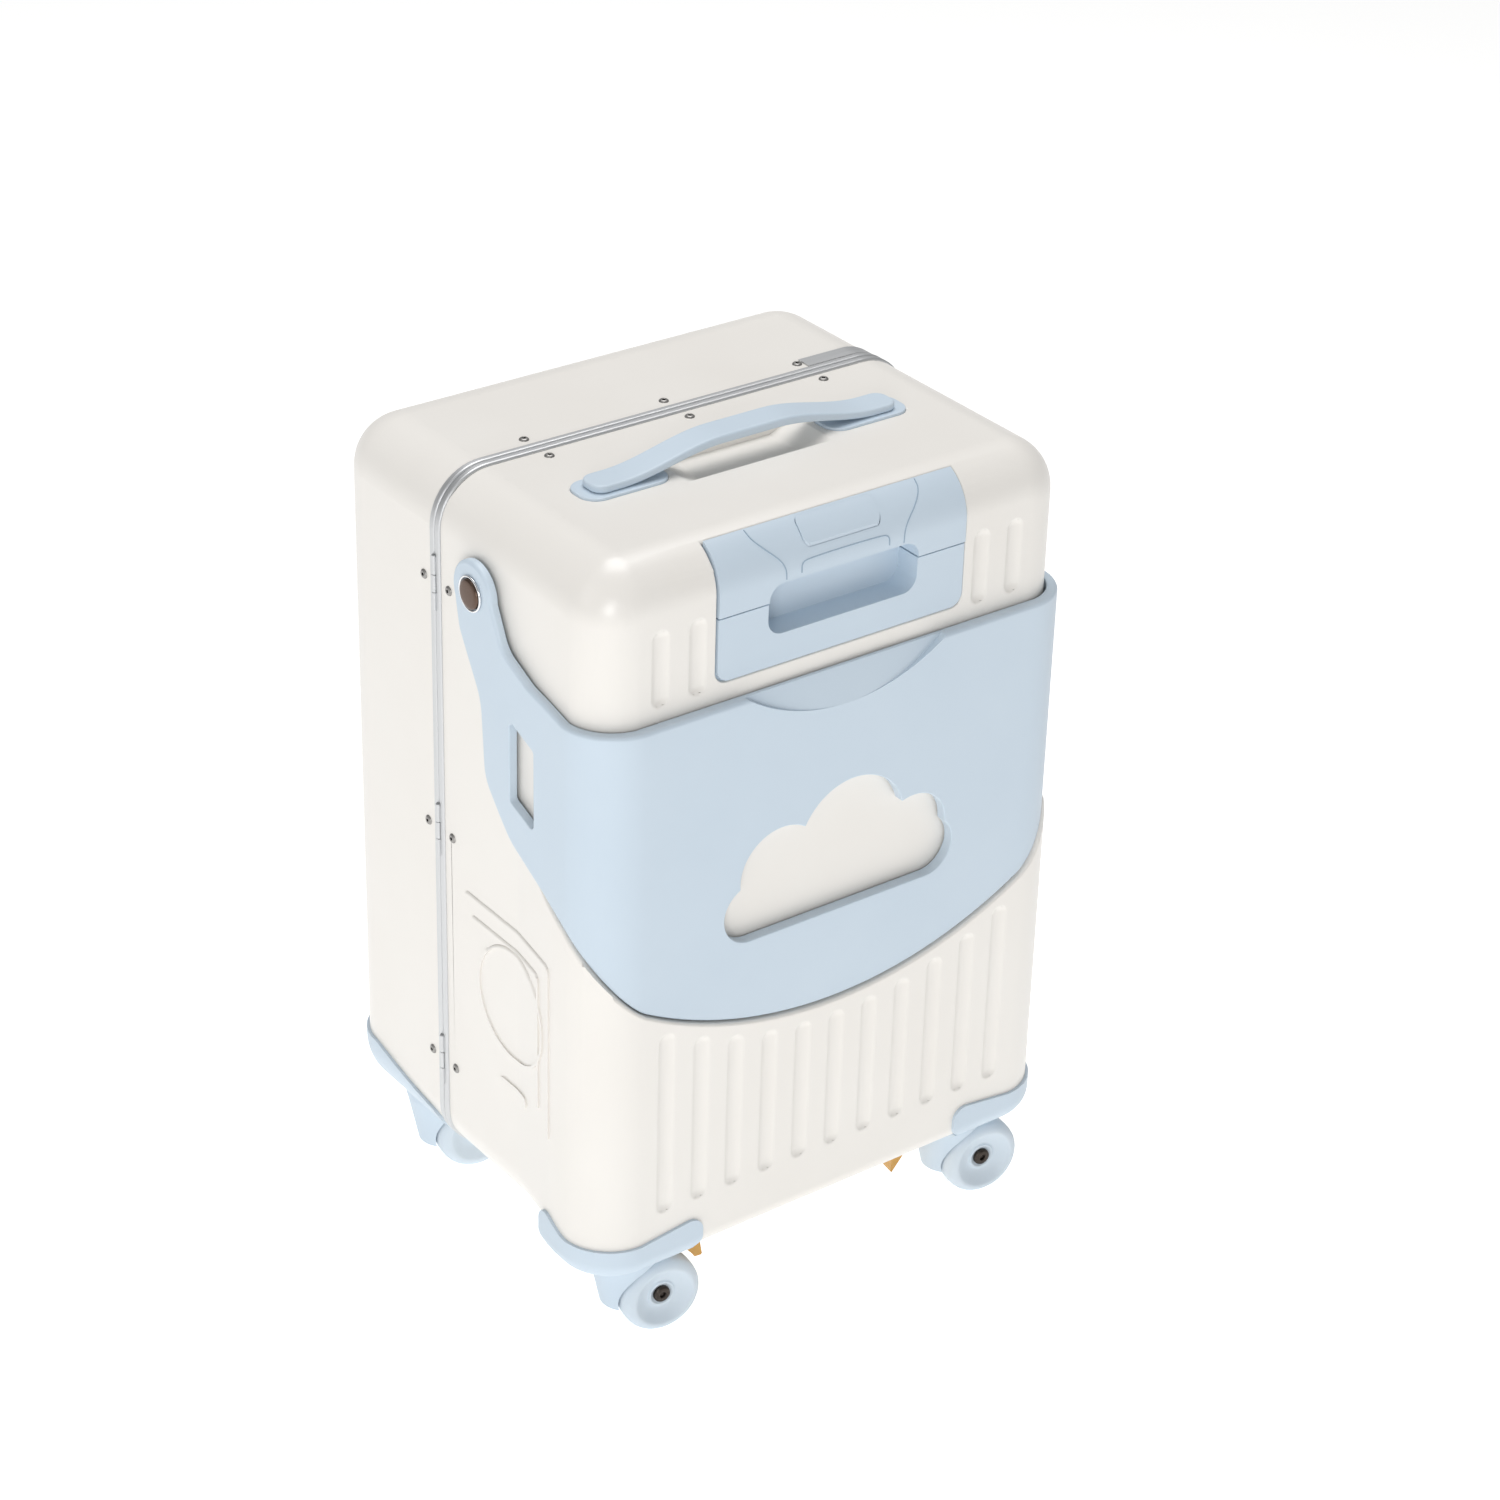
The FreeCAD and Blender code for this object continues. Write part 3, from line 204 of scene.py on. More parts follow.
# %% Plastic finishes
def moulded_plastic(name, light, dark, rough, grain_mm, grain_depth_mm, cloud_mm, ior, coat=0.0):
    """Moulded plastic: slow drift between two near colours, drifting gloss and a fine moulded grain."""
    values = {"IOR": ior, "Coat Weight": coat, "Coat Roughness": 0.18}
    finish, tree, shader, place = start_finish(name, values)
    clouds = add(tree, "ShaderNodeTexNoise", {"Scale": per(cloud_mm), "Detail": 2.0}, {"Vector": place})
    drift(tree, shader, clouds.outputs["Fac"], dark, light, rough, swing=0.05)
    grain = add(tree, "ShaderNodeTexNoise", {"Scale": per(grain_mm), "Detail": 3.0}, {"Vector": place})
    relief = add(tree, "ShaderNodeBump", {"Strength": 0.5, "Distance": grain_depth_mm * mm},
                 {"Height": grain.outputs["Fac"]})
    tree.links.new(relief.outputs["Normal"], shader.inputs["Normal"])
    return finish


# Polycarbonate over a mould: broad soft highlights and a faint long ripple.
white_shell = moulded_plastic("polycarbonate_warm_white", "F1EEE9", "ECE8E2", rough=0.36, grain_mm=3.5,
                              grain_depth_mm=0.02, cloud_mm=90.0, ior=1.58, coat=0.15)
# ABS from a spark-eroded mould: satin, and the 0.3 mm grain is drawn at 0.9 mm so that it can show.
blue_abs = moulded_plastic("abs_pale_blue", "CDDBE7", "C6D5E2", rough=0.44, grain_mm=0.9,
                           grain_depth_mm=0.03, cloud_mm=60.0, ior=1.53)
# Cast polyurethane: paler and more matt than the covers, with a rubbery grain.
tyre_blue = moulded_plastic("polyurethane_pale_blue", "D6E1EA", "CEDAE4", rough=0.5, grain_mm=1.2,
                            grain_depth_mm=0.04, cloud_mm=30.0, ior=1.5)
# ABS coloured amber, from a polished mould: glossy, and a little deeper in patches.
amber_abs = moulded_plastic("abs_amber", "CF9C3F", "B98731", rough=0.26, grain_mm=1.5,
                            grain_depth_mm=0.02, cloud_mm=14.0, ior=1.53, coat=0.3)
# A moulded seam is a fine groove that holds shade; that shade is painted into this darker blue line.
painted_seam_shade = moulded_plastic("abs_seam_shade", "9DB1C2", "90A5B8", rough=0.6, grain_mm=0.8,
                            grain_depth_mm=0.02, cloud_mm=20.0, ior=1.53)
print("plastics ready")

# %% [markdown]
# ## Metals
# The frame is extruded aluminium, brushed along its length and anodised, so its gloss runs in streaks round
# the case. Stretching a noise along two axes gives streaks on the sides and the top alike. Rivets are dull
# steel, the pivot caps are lacquered bronze and the axle bolts are blackened.


# %% Metal finishes
def metal(name, light, dark, rough, streak_mm, depth_mm):
    """Bare metal whose colour and gloss drift in streaks; streak_mm is the streak's size along X, Y and Z."""
    finish, tree, shader, place = start_finish(name, {"Metallic": 1.0})
    lay = add(tree, "ShaderNodeMapping", {"Scale": tuple(per(size) for size in streak_mm)}, {"Vector": place})
    streak = add(tree, "ShaderNodeTexNoise", {"Scale": 1.0, "Detail": 4.0}, {"Vector": lay.outputs["Vector"]})
    drift(tree, shader, streak.outputs["Fac"], dark, light, rough, swing=0.08)
    relief = add(tree, "ShaderNodeBump", {"Strength": 0.4, "Distance": depth_mm * mm},
                 {"Height": streak.outputs["Fac"]})
    tree.links.new(relief.outputs["Normal"], shader.inputs["Normal"])
    return finish


# Brushed and anodised: silver with fine lines that run round the case.
frame_aluminium = metal("anodised_aluminium_brushed", "DADBDC", "C4C6C8", rough=0.48,
                        streak_mm=(60.0, 0.5, 60.0), depth_mm=0.01)
# Drawn and anodised tube: the same silver with its lines along the tube.
tube_aluminium = metal("anodised_aluminium_tube", "CDCFD2", "B8BBBF", rough=0.28,
                       streak_mm=(0.6, 0.6, 80.0), depth_mm=0.01)
# Stamped steel with a dull zinc coat: grey and mottled.
rivet_steel = metal("zinc_plated_steel", "B2B0AE", "84827F", rough=0.42,
                    streak_mm=(1.5, 1.5, 1.5), depth_mm=0.02)
# Lacquered bronze: dark brown with a soft turned sheen.
cap_bronze = metal("lacquered_bronze", "6E5B50", "574840", rough=0.3,
                   streak_mm=(40.0, 0.8, 0.8), depth_mm=0.01)
# Polished chrome: bright, with only faint smears.
chrome = metal("chrome_plate", "EDEDEE", "E2E3E5", rough=0.12,
               streak_mm=(9.0, 9.0, 9.0), depth_mm=0.002)
# Oil-blackened steel: nearly black, with worn grey patches.
bolt_black = metal("blackened_steel", "5C544E", "2E2A28", rough=0.4,
                   streak_mm=(2.5, 2.5, 2.5), depth_mm=0.02)
# The pulled stem inside a blind rivet sits in shade and reads as a dark pit.
rivet_pit = metal("rivet_stem_shade", "3A3836", "242322", rough=0.6,
                  streak_mm=(1.0, 1.0, 1.0), depth_mm=0.01)
print("metals ready")

# %% [markdown]
# ## Lining cloth
# The board that covers the trolley tubes inside the case is wrapped in plain polyester lining. A plain
# weave is two sets of ribs at right angles, so two wave textures, multiplied, give its bump and its tone.
# The real thread is about half a millimetre thick, and it is drawn at 1.4 mm so that it can show.

# %% Lining finish
thread_mm = 1.4
thread_depth_mm = 0.2
lining, tree, shader, place = start_finish("polyester_lining_woven", {"Roughness": 0.85, "Sheen Weight": 0.3})
# A wave texture of scale 1 has 20 radians of its sine in each unit of length.
waves_per_scale = 20 / (2 * math.pi)
thread_scale = per(thread_mm) / waves_per_scale
across = add(tree, "ShaderNodeTexWave", {"Scale": thread_scale}, {"Vector": place}, bands_direction="X")
along = add(tree, "ShaderNodeTexWave", {"Scale": thread_scale}, {"Vector": place}, bands_direction="Z")
crossing = {0: across.outputs["Fac"], 1: along.outputs["Fac"]}
weave = add(tree, "ShaderNodeMath", links=crossing, operation="MULTIPLY").outputs["Value"]
cloth = add(tree, "ShaderNodeMix", {first_colour: linear("B9BBBD"), second_colour: linear("D3D4D5")},
            {"Factor": weave}, data_type="RGBA")
tree.links.new(cloth.outputs[mixed_colour], shader.inputs["Base Color"])
ribs = add(tree, "ShaderNodeBump", {"Strength": 0.6, "Distance": thread_depth_mm * mm}, {"Height": weave})
tree.links.new(ribs.outputs["Normal"], shader.inputs["Normal"])
print("lining thread", thread_mm, "mm")

# %% [markdown]
# ## A finish for every solid
# The record names a slot for each node, and each slot stands for one real material. Assigning by slot means
# that a hidden piece, such as a trolley tube, is finished as well as one that shows. The hinge pins are
# plated to match the frame that they lie in, so that the hinges hardly show.

# %% Assign finishes to the frame's nodes
finish_of = {"white_shell": white_shell, "blue_plastic": blue_abs, "aluminium": frame_aluminium,
             "rivet_steel": rivet_steel, "dark_metal": bolt_black, "tyre": tyre_blue,
             "amber_plastic": amber_abs, "tube_metal": tube_aluminium, "board": lining}
for name, node in nodes.items():
    node.data.materials.clear()
    node.data.materials.append(finish_of[slot_of[name]])
nodes["hinge_pins"].data.materials[0] = frame_aluminium
print("finished", len(nodes), "nodes")

# %% [markdown]
# ## Moulded edges
# Moulded plastic never has a sharp edge: every corner has a radius that catches a thin highlight. Rounding
# them in the solid model is slow and fragile, so we copy a node's mesh, merge its loose triangles, melt the
# flat faces together and bevel only the sharp edges. Weighted normals then keep the flat faces flat to the
# eye.


# %% Softening helpers
crease_degrees = 48.0
sharp_degrees = 33.0
flat_degrees = 0.8
merge_distance = 0.02 * mm


def as_piece(shape, name, body, finishes):
    """Write a bmesh to a smooth mesh object that rides on a body, and say what was made."""
    for edge in shape.edges:
        edge.smooth = len(edge.link_faces) != 2 or edge.calc_face_angle() < math.radians(crease_degrees)
    mesh = bpy.data.meshes.new(name)
    shape.to_mesh(mesh)
    shape.free()
    mesh.polygons.foreach_set("use_smooth", [True] * len(mesh.polygons))
    for finish in finishes:
        mesh.materials.append(finish)
    piece = bpy.data.objects.new(name, mesh)
    scene.collection.objects.link(piece)
    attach(piece, body)
    print(name, len(mesh.polygons), "faces on", body)
    return piece


def weighted(piece):
    """Let large faces set the normals, so that bevels read as rounds and flats stay flat."""
    modifier = piece.modifiers.new("weighted_normals", "WEIGHTED_NORMAL")
    modifier.keep_sharp = True


def any_edge(edge):
    """The test that picks every edge."""
    return True


def middle_of(edge):
    """Point halfway along an edge."""
    return (edge.verts[0].co + edge.verts[1].co) / 2


def merged_copy(node, melted):
    """A node's mesh with loose triangles merged, and flat faces melted together where melted says so."""
    shape = bmesh.new()
    shape.from_mesh(nodes[node].data)
    bmesh.ops.remove_doubles(shape, verts=shape.verts, dist=merge_distance)
    inner = [edge for edge in shape.edges if melted(edge)]
    bmesh.ops.dissolve_limit(shape, angle_limit=math.radians(flat_degrees), verts=[], edges=inner)
    return shape


def round_edges(shape, chosen, radius_mm, segments, clamp):
    """Bevel the sharp edges that chosen picks, and give back how many there were."""
    sharp = [edge for edge in shape.edges if len(edge.link_faces) == 2
             and edge.calc_face_angle() > math.radians(sharp_degrees) and chosen(edge)]
    bmesh.ops.bevel(shape, geom=sharp, offset=radius_mm * mm, offset_type="OFFSET", affect="EDGES",
                    segments=segments, profile=0.5, material=-1, clamp_overlap=clamp)
    return len(sharp)


def softened(node, passes, clamp=True, melted=any_edge):
    """A copy of a node in its place, with its edges rounded in passes of (test, radius in mm, segments)."""
    shape = merged_copy(node, melted)
    counts = [round_edges(shape, chosen, radius, segments, clamp) for chosen, radius, segments in passes]
    piece = as_piece(shape, node + "_soft", body_of[node], [finish_of[slot_of[node]]])
    print("  rounded", counts, "edges")
    weighted(piece)
    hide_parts(node)


# %% [markdown]
# ## Front shell
# The thick belt ends in a rounded ledge under the backrest, and the flutes and the scoop under the handle
# have smaller radii. One radius for all would swallow the raised lines on the sides, so the edges are
# rounded in turn. Each pass picks its own edges by where they lie and which way their faces look, and the
# raised lines stay crisp.

# %% Soften the front shell
shell_low, shell_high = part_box("front_shell")
relief_top = 300.0 * mm
side_start = 182.0 * mm
ledge_low = 220.0 * mm
ledge_top = 420.0 * mm
flute_start = 110.0 * mm
flute_row_reach = 150.0 * mm
flute_band = 16.0 * mm
top_band = 12.0 * mm
# A face's normal has to point this much up, or to the front, to count as looking there.
up_enough = 0.7
front_enough = 0.9


def on_ledge(edge):
    """Outer edge of the belt, under the backrest: one of its faces looks up."""
    middle = middle_of(edge)
    looks_up = max(face.normal.z for face in edge.link_faces) > up_enough
    return looks_up and edge.is_convex and ledge_low < middle.z < ledge_top


def off_raised_lines(edge):
    """Everywhere but the sides that carry the raised lines, whose flat faces are left in triangles."""
    middle = middle_of(edge)
    return abs(middle.x) < side_start or middle.z > relief_top


def on_flute(edge):
    """Mouth of a flute: one of its faces is the belt's flat front."""
    middle = middle_of(edge)
    looks_front = max(-face.normal.y for face in edge.link_faces) > front_enough
    in_row = abs(middle.x) < flute_row_reach and middle.z > flute_start
    return looks_front and in_row and middle.y < shell_low.y + flute_band


def on_top(edge):
    """Outward edges close to the top face, such as the rim of the scoop under the handle."""
    return middle_of(edge).z > shell_high.z - top_band and edge.is_convex


shell_passes = [(on_ledge, 2.2, 4), (on_top, 1.2, 3), (on_flute, 1.0, 3)]
softened("front_shell", shell_passes, clamp=False, melted=off_raised_lines)

# %% [markdown]
# ## Backrest
# The backrest is one large moulding with generous rounds on the outline that a child leans on, and smaller
# ones round its openings and inside. Its outer skin is found by asking whether a face looks away from the
# case.

# %% Soften the backrest
rest_low, rest_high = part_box("backrest")
rest_centre = Vector((0, rest_high.y, 0))
rest_rim = 474.0 * mm
front_band = 12.0 * mm
cloud_reach = 100.0 * mm
cloud_low = 290.0 * mm
cloud_high = 400.0 * mm
window_front = -90.0 * mm
window_back = -58.0 * mm
window_low = 380.0 * mm
window_high = 456.0 * mm
lens_reach = 80.0 * mm
lens_drop = 28.0 * mm
lens_rim_band = 1.5 * mm
# Limits on a face's normal: an upright face has a Z under the first, and one that looks outwards points away
# from the case by more than the second.
upright_enough = 0.2
out_enough = 0.7


def on_outer_skin(face):
    """Whether a face is upright and looks away from the case."""
    away = face.calc_center_median() - rest_centre
    away.z = 0
    return abs(face.normal.z) < upright_enough and face.normal.dot(away.normalized()) > out_enough


def round_an_opening(edge):
    """Edges of the cloud, in the front, and of the windows in the arms."""
    middle = middle_of(edge)
    in_front = middle.y < rest_low.y + front_band
    in_cloud = in_front and abs(middle.x) < cloud_reach and cloud_low < middle.z < cloud_high
    in_window = window_front < middle.y < window_back and window_low < middle.z < window_high
    return in_cloud or in_window


def on_lens(edge):
    """Edges of the thin lens-shaped bevel in the middle of the top rim."""
    middle = middle_of(edge)
    in_front = middle.y < rest_low.y + front_band
    return in_front and abs(middle.x) < lens_reach and middle.z > rest_rim - lens_drop


def on_outline(edge):
    """Edges of the outer skin, apart from the openings and the lens."""
    on_skin = any(on_outer_skin(face) for face in edge.link_faces)
    return on_skin and not round_an_opening(edge) and not on_lens(edge)


def on_lens_rim(edge):
    """Top edge of the lens, along the rim."""
    return on_lens(edge) and middle_of(edge).z > rest_rim - lens_rim_band


def on_inside(edge):
    """Edges that the outline's pass left sharp, which are those towards the case."""
    return not on_lens(edge) and not round_an_opening(edge)


rest_passes = [(on_outline, 2.6, 4), (round_an_opening, 0.9, 3), (on_inside, 1.0, 3), (on_lens_rim, 0.6, 3)]
softened("backrest", rest_passes, clamp=False)

# %% [markdown]
# ## Smaller mouldings
# The pads, grip, cup, button, corner covers, forks and levers have one radius each, so one pass does.

# %% Soften the smaller mouldings
softened("carry_pads", [(any_edge, 1.2, 3)])
softened("trolley_grip", [(any_edge, 1.0, 3)])
softened("trolley_cup", [(any_edge, 1.0, 3)])
softened("trolley_button", [(any_edge, 0.5, 2)])
corners = ("front_left", "front_right", "rear_left", "rear_right")
for corner in corners:
    softened("housing_" + corner, [(any_edge, 0.9, 3)])
    softened("fork_" + corner, [(any_edge, 0.8, 3)])
for corner in ("front_left", "front_right"):
    softened("brake_lever_" + corner, [(any_edge, 0.9, 3)])

# %% [markdown]
# ## Pressed metal edges
# The latches, strikes and lock are stamped and tumbled, so their edges are broken by less than half a
# millimetre. That is too small to shape anything, but it draws the bright line that says metal.

# %% Soften the hardware
for node in ("latch_bases", "latch_lever_low", "latch_lever_high", "latch_strikes", "lock_plate"):
    softened(node, [(any_edge, 0.4, 2)])
softened("lock_barrel", [(any_edge, 0.25, 2)])

# %% [markdown]
# ## Turned pieces
# Wheels, rivets, caps and bolts are round, so each is half a section spun about its axis. A section is a
# short list of radius and height pairs in millimetres, which is how a turner would read it off a drawing. A
# full spin is told to merge its last copy with its first, and points that meet on the axis are merged
# before the normals are settled.


# %% Turning helpers
touching = 0.001 * mm


def turned(section, steps, closed):
    """Spin (radius, height) points in millimetres about Z; a closed section makes a ring."""
    shape = bmesh.new()
    points = [shape.verts.new((radius * mm, 0, height * mm)) for radius, height in section]
    edges = [shape.edges.new(pair) for pair in zip(points, points[1:])]
    if closed:
        edges.append(shape.edges.new((points[-1], points[0])))
    bmesh.ops.spin(shape, geom=points + edges, axis=(0, 0, 1), cent=(0, 0, 0), angle=2 * math.pi, steps=steps,
                   use_merge=True)
    bmesh.ops.remove_doubles(shape, verts=shape.verts, dist=touching)
    bmesh.ops.recalc_face_normals(shape, faces=shape.faces)
    return shape


def standing(place, axis):
    """Matrix that stands a turned shape's Z along an axis at a place."""
    return Matrix.Translation(place) @ Vector(axis).to_track_quat("Z", "Y").to_matrix().to_4x4()


def reach(node, place, axis):
    """Lowest and highest distance of a node from a place along an axis, in millimetres."""
    distances = [(point.co - Vector(place)).dot(Vector(axis)) / mm for point in nodes[node].data.vertices]
    return min(distances), max(distances)


def rounder(piece):
    """One level of subdivision, the same in the view and the render."""
    modifier = piece.modifiers.new("rounder", "SUBSURF")
    modifier.levels = 1
    modifier.render_levels = 1


# %% [markdown]
# ## Wheels
# Each caster has two wheels of cast polyurethane with a full round shoulder, a dished face and a raised
# ring round the bolt. The axle's place and direction come from the wheel's own joint, and the width from
# its solid, so the turned wheel fills the same space.


# %% Wheels and axle bolts
wheel_steps = 48
bolt_steps = 32


def wheel_section(near, far, radius):
    """Half section of a wheel between its inner face (near) and the top of its outer ring (far)."""
    bore = 3.6
    tread = [(bore, near), (radius - 3.0, near), (radius - 0.8, near + 0.8), (radius, near + 3.0),
             (radius, far - 6.6), (radius - 1.2, far - 3.4), (radius - 3.4, far - 1.2),
             (radius - 5.4, far - 0.2)]
    dish = [(radius - 6.8, far), (radius - 8.0, far - 0.5), (radius - 9.6, far - 1.9),
            (radius - 14.5, far - 5.2), (radius - 17.4, far - 6.0), (radius - 18.6, far - 6.0),
            (radius - 19.0, far - 4.8), (radius - 20.6, far - 4.6), (radius - 21.1, far - 6.2),
            (bore, far - 6.3)]
    return tread + dish


def bolt_section(end):
    """Half section of an axle with a socket head at each end, as far as end from its middle."""
    head = [(0.0, end - 1.7), (1.9, end - 1.7), (2.2, end - 0.3), (2.7, end), (4.7, end - 0.2),
            (5.8, end - 0.9), (6.0, end - 1.8), (6.0, end - 3.0), (3.5, end - 3.0)]
    return head + [(radius, -height) for radius, height in reversed(head)]


for corner in corners:
    for side in ("outer", "inner"):
        node = "wheel_" + side + "_" + corner
        joint = joints[node + "_spin"]
        low, high = reach(node, joint["pos_m"], joint["axis"])
        direction = Vector(joint["axis"])
        if low < 0:
            direction, low, high = -direction, -high, -low
        wheel_radius = joint["pos_m"][2] / mm
        shape = turned(wheel_section(low, high, wheel_radius), wheel_steps, closed=True)
        bmesh.ops.transform(shape, matrix=standing(joint["pos_m"], direction), verts=shape.verts)
        wheel = as_piece(shape, node + "_turned", body_of[node], [tyre_blue])
        rounder(wheel)
        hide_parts(node)
    axle = "axle_" + corner
    bolt_end = reach(axle, joint["pos_m"], joint["axis"])[1]
    shape = turned(bolt_section(bolt_end), bolt_steps, closed=False)
    bmesh.ops.transform(shape, matrix=standing(joint["pos_m"], joint["axis"]), verts=shape.verts)
    bolt = as_piece(shape, axle + "_turned", body_of[axle], [bolt_black])
    weighted(bolt)
    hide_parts(axle)

# %% [markdown]
# ## Rivets
# Blind rivets hold the frame to the shells. Each has a low dome and, in its middle, the pit where the stem
# was pulled and broke. A rivet is turned for each of the places where the frame has one: three along each
# side of each half, beside the bead.

# %% Rivets
rivet_steps = 20
rivet_section = [(0.0, 0.5), (1.0, 0.5), (1.15, 1.25), (1.5, 1.4), (2.5, 1.2), (3.2, 0.6), (3.4, 0.0)]
rivet_top_spacing = 108.0 * mm
rivet_side_spacing = 180.0 * mm
rivet_side_middle = 325.0 * mm
rivet_from_meeting = 14.4 * mm
pit_radius = 1.1
case_low, case_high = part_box("rear_shell")
meeting_y = (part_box("front_frame")[1].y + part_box("rear_frame")[0].y) / 2


def rivet_places(side):
    """Foot and outward direction of each rivet on one half; side is -1 for the front and 1 for the rear."""
    y = meeting_y + side * rivet_from_meeting
    for step in (-1, 0, 1):
        yield Vector((step * rivet_top_spacing, y, case_high.z)), Vector((0, 0, 1))
        yield Vector((step * rivet_top_spacing, y, case_low.z)), Vector((0, 0, -1))
        z = rivet_side_middle + step * rivet_side_spacing
        yield Vector((case_low.x, y, z)), Vector((-1, 0, 0))
        yield Vector((case_high.x, y, z)), Vector((1, 0, 0))


for half, side in (("front", -1), ("rear", 1)):
    row = bmesh.new()
    for place, out in rivet_places(side):
        one = turned(rivet_section, rivet_steps, closed=False)
        for face in one.faces:
            face.material_index = int(face.calc_center_median().xy.length < pit_radius * mm)
        bmesh.ops.transform(one, matrix=standing(place, out), verts=one.verts)
        single = bpy.data.meshes.new("rivet")
        one.to_mesh(single)
        one.free()
        row.from_mesh(single)
        bpy.data.meshes.remove(single)
    node = half + "_rivets"
    rivets = as_piece(row, node + "_turned", body_of[node], [rivet_steel, rivet_pit])
    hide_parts(node)

# %% [markdown]
# ## Pivot caps
# The backrest turns on a pin in each side of the case. Outside, the pin ends in a low dark cap inside a
# thin bright ring. Both are turned from the pin's own place, so they stay on its axis as the backrest
# swings.

# %% Pivot caps and rings
cap_steps = 40
cap_height = 2.6
shank_radius = 6.0
shank_end = -28.0
cap_section = [(0.0, cap_height), (6.4, 2.55), (8.6, 2.35), (9.6, 1.9), (10.0, 1.2), (10.1, 0.0),
               (shank_radius, 0.0), (shank_radius, shank_end), (0.0, shank_end)]
ring_section = [(10.7, -0.25), (12.3, -0.25), (12.2, 0.7), (11.8, 1.25), (11.2, 1.3), (10.7, 0.9)]
pivot = Vector(joints["backrest_fold"]["pos_m"])
for side, out in (("left", Vector((-1, 0, 0))), ("right", Vector((1, 0, 0)))):
    node = "backrest_pin_" + side
    end = reach(node, pivot, out)[1] * mm
    base = standing(pivot + out * (end - cap_height * mm), out)
    cap = turned(cap_section, cap_steps, closed=False)
    bmesh.ops.transform(cap, matrix=base, verts=cap.verts)
    cap_piece = as_piece(cap, "pivot_cap_" + side, body_of[node], [cap_bronze])
    weighted(cap_piece)
    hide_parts(node)
    ring = turned(ring_section, cap_steps, closed=True)
    bmesh.ops.transform(ring, matrix=base, verts=ring.verts)
    rounder(as_piece(ring, "pivot_ring_" + side, body_of[node], [chrome]))

# %% [markdown]
# ## Carry strap
# The strap is a springy moulded band: flat paddles at both ends and an arch for the hand between them. A
# block's outline and rims are rounded, it is cut into slices along its length, and the arch is then a
# smooth step up and down that moves each slice. The posts that slide in the pads are part of the same
# moulding.

# %% Carry strap
strap_low, strap_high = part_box("carry_strap")
strap_length = strap_high.x - strap_low.x
strap_width = strap_high.y - strap_low.y
strap_middle_y = (strap_low.y + strap_high.y) / 2
strap_rise = 11.0 * mm
strap_thickness = 5.2 * mm
strap_top_gain = 1.0 * mm
paddle_start = 100.0 * mm
crown_end = 22.0 * mm
paddle_round = 8.5 * mm
rim_round = 1.7 * mm
slices = 44
post_place = 96.0 * mm
post_radius = 4.0 * mm
post_sides = 24
strap_under = strap_high.z - strap_rise - strap_thickness - strap_top_gain


def arch(x):
    """Share of the full rise at a distance along the strap: 0 on the paddles, 1 over the crown."""
    share = min(1.0, max(0.0, (paddle_start - abs(x)) / (paddle_start - crown_end)))
    return share * share * (3 - 2 * share)


def rise(edge):
    """Difference in height between an edge's two ends."""
    return abs(edge.verts[0].co.z - edge.verts[1].co.z)


strap = bmesh.new()
bmesh.ops.create_cube(strap, size=1.0)
bmesh.ops.scale(strap, vec=(strap_length, strap_width, strap_thickness), verts=strap.verts)
upright = [edge for edge in strap.edges if rise(edge) > strap_thickness / 2]
bmesh.ops.bevel(strap, geom=upright, offset=paddle_round, affect="EDGES", segments=6, profile=0.5,
                material=-1)
rims = [edge for edge in strap.edges if rise(edge) < strap_thickness / 2]
bmesh.ops.bevel(strap, geom=rims, offset=rim_round, affect="EDGES", segments=4, profile=0.5,
                material=-1)
for step in range(1, slices):
    x = -strap_length / 2 + strap_length * step / slices
    geom = strap.verts[:] + strap.edges[:] + strap.faces[:]
    bmesh.ops.bisect_plane(strap, geom=geom, dist=touching, plane_co=(x, 0, 0), plane_no=(1, 0, 0))
for point in strap.verts:
    share = arch(point.co.x)
    swell = 1.0 + share * strap_top_gain / strap_thickness
    point.co.z = (point.co.z + strap_thickness / 2) * swell + share * strap_rise + strap_under
    point.co.y += strap_middle_y
post_depth = strap_under + strap_thickness / 2 - strap_low.z
for x in (-post_place, post_place):
    middle = Matrix.Translation((x, strap_middle_y, strap_low.z + post_depth / 2))
    bmesh.ops.create_cone(strap, cap_ends=True, segments=post_sides, radius1=post_radius, radius2=post_radius,
                          depth=post_depth, matrix=middle)
strap_piece = as_piece(strap, "carry_strap_arched", body_of["carry_strap"], [blue_abs])
weighted(strap_piece)
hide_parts("carry_strap")

# %% [markdown]
# ## Seams on the trolley grip
# The grip is made of a few mouldings that meet in fine lines. Each line lies on the grip's rounded front
# edge, whose section is a quarter circle, so a point needs only its x and its height. The corners of a few
# points are cut again and again until they make a smooth line, and only then is it laid on the surface. A
# curve laid straight through the points would take short cuts under the round face and vanish.

# %% Grip seams
grip_proud = 1.3 * mm
grip_front = -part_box("trolley_grip")[0].y
case_edge_radius = 32.0 * mm
edge_radius = case_edge_radius + grip_proud
round_start = shell_high.z + grip_proud - edge_radius
seam_radius = 0.42 * mm
end_seam = ((66.0, 576.0), (65.0, 572.0), (58.0, 565.5), (49.5, 558.0), (46.0, 552.0), (45.5, 544.5))
tab_seam = ((-34.0, 546.0), (-34.0, 552.0), (-29.0, 554.0), (29.0, 554.0), (34.0, 552.0), (34.0, 546.0))


def smoothed(points, rounds=4):
    """Cut the corners of a line of (x, z) points a few times, at a quarter of each run; its ends stay."""
    for _ in range(rounds):
        cut = [points[0]]
        for (x, z), (next_x, next_z) in zip(points, points[1:]):
            for share in (0.25, 0.75):
                cut.append(((1 - share) * x + share * next_x, (1 - share) * z + share * next_z))
        points = cut + [points[-1]]
    return points


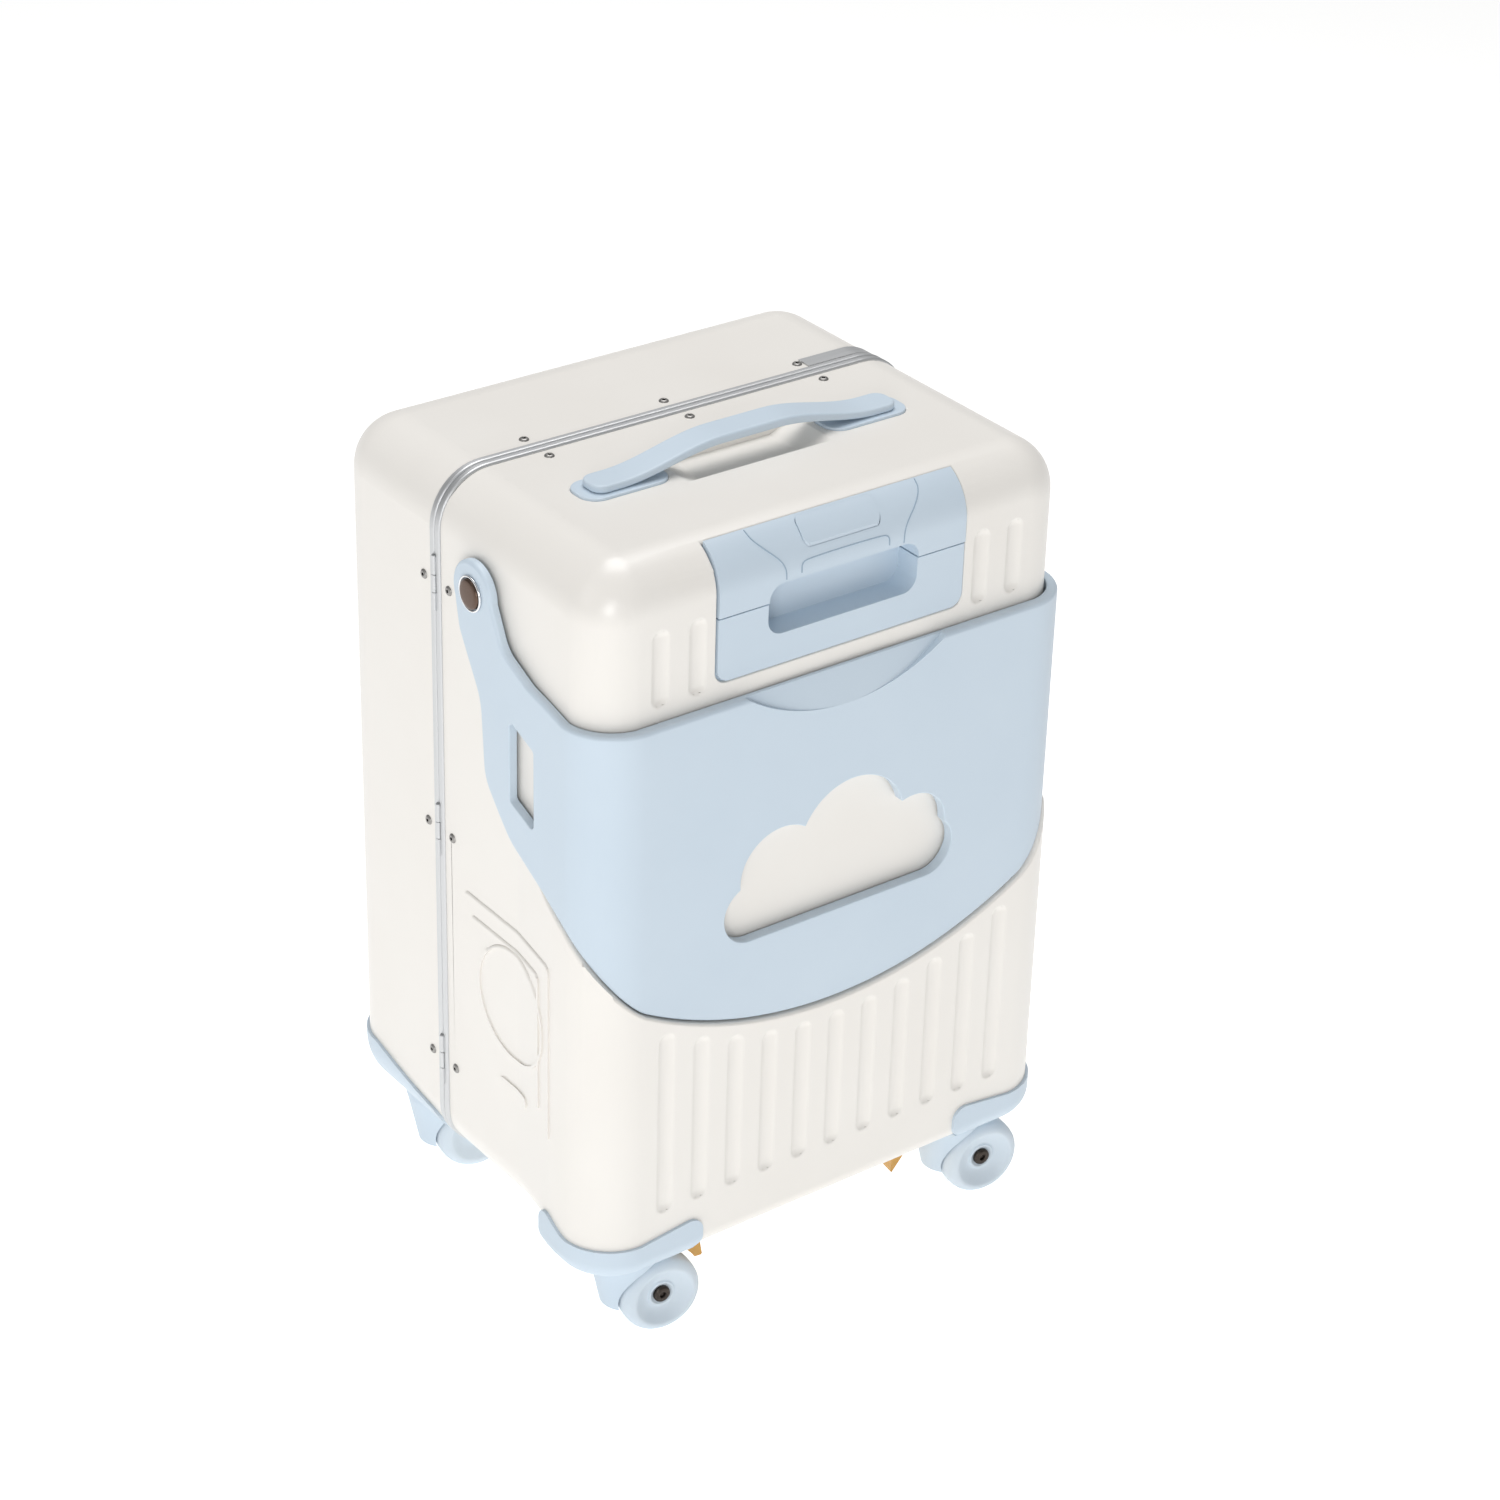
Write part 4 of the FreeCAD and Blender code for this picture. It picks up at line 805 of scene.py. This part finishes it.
def on_grip(x_mm, z_mm):
    """Point on the grip's outer face at an x and a height."""
    above = max(0.0, z_mm * mm - round_start)
    inset = edge_radius - math.sqrt(edge_radius ** 2 - above ** 2)
    return Vector((x_mm * mm, -grip_front + inset, z_mm * mm))


def seam(name, points):
    """A hair-thin tube of painted shade along a smoothed line on the grip, made a mesh."""
    path = smoothed(points)
    line = bpy.data.curves.new(name, "CURVE")
    line.dimensions = "3D"
    line.bevel_depth = seam_radius
    line.bevel_resolution = 1
    spline = line.splines.new("POLY")
    spline.points.add(len(path) - 1)
    for point, (x, z) in zip(spline.points, path):
        point.co = (*on_grip(x, z), 1.0)
    holder = bpy.data.objects.new(name, line)
    shape = bmesh.new()
    shape.from_mesh(bpy.data.meshes.new_from_object(holder))
    bpy.data.objects.remove(holder)
    as_piece(shape, name, body_of["trolley_grip"], [painted_seam_shade])


# Each seam is a thin raised tube coloured darker blue: painted shade that stands in for the groove.
seam("grip_seam_right", end_seam)
seam("grip_seam_left", [(-x, z) for x, z in end_seam])
seam("grip_tab_seam", tab_seam)

# %% [markdown]
# ## Floor
# The case stands on a light table: white paper with a lamp under it, which keeps the background white and
# the shadow pale. It isn't part of the object. Its faint fibre keeps it from looking empty.

# %% Floor
fibre_mm = 6.0
floor_reach = 12.0
paper_values = {"Roughness": 0.9, "IOR": 1.45, "Emission Color": (1.0, 1.0, 1.0, 1.0),
                "Emission Strength": 0.52}
paper, tree, shader, place = start_finish("studio_paper", paper_values)
fibre = add(tree, "ShaderNodeTexNoise", {"Scale": per(fibre_mm), "Detail": 4.0}, {"Vector": place})
tone = add(tree, "ShaderNodeMix", {first_colour: linear("FAFAF9"), second_colour: linear("FDFDFC")},
           {"Factor": fibre.outputs["Fac"]}, data_type="RGBA")
tree.links.new(tone.outputs[mixed_colour], shader.inputs["Base Color"])
sheet = bmesh.new()
bmesh.ops.create_grid(sheet, x_segments=2, y_segments=2, size=floor_reach)
floor_mesh = bpy.data.meshes.new("floor")
sheet.to_mesh(floor_mesh)
sheet.free()
floor_mesh.materials.append(paper)
floor = bpy.data.objects.new("floor", floor_mesh)
scene.collection.objects.link(floor)
print("floor reaches", floor_reach, "m each way")
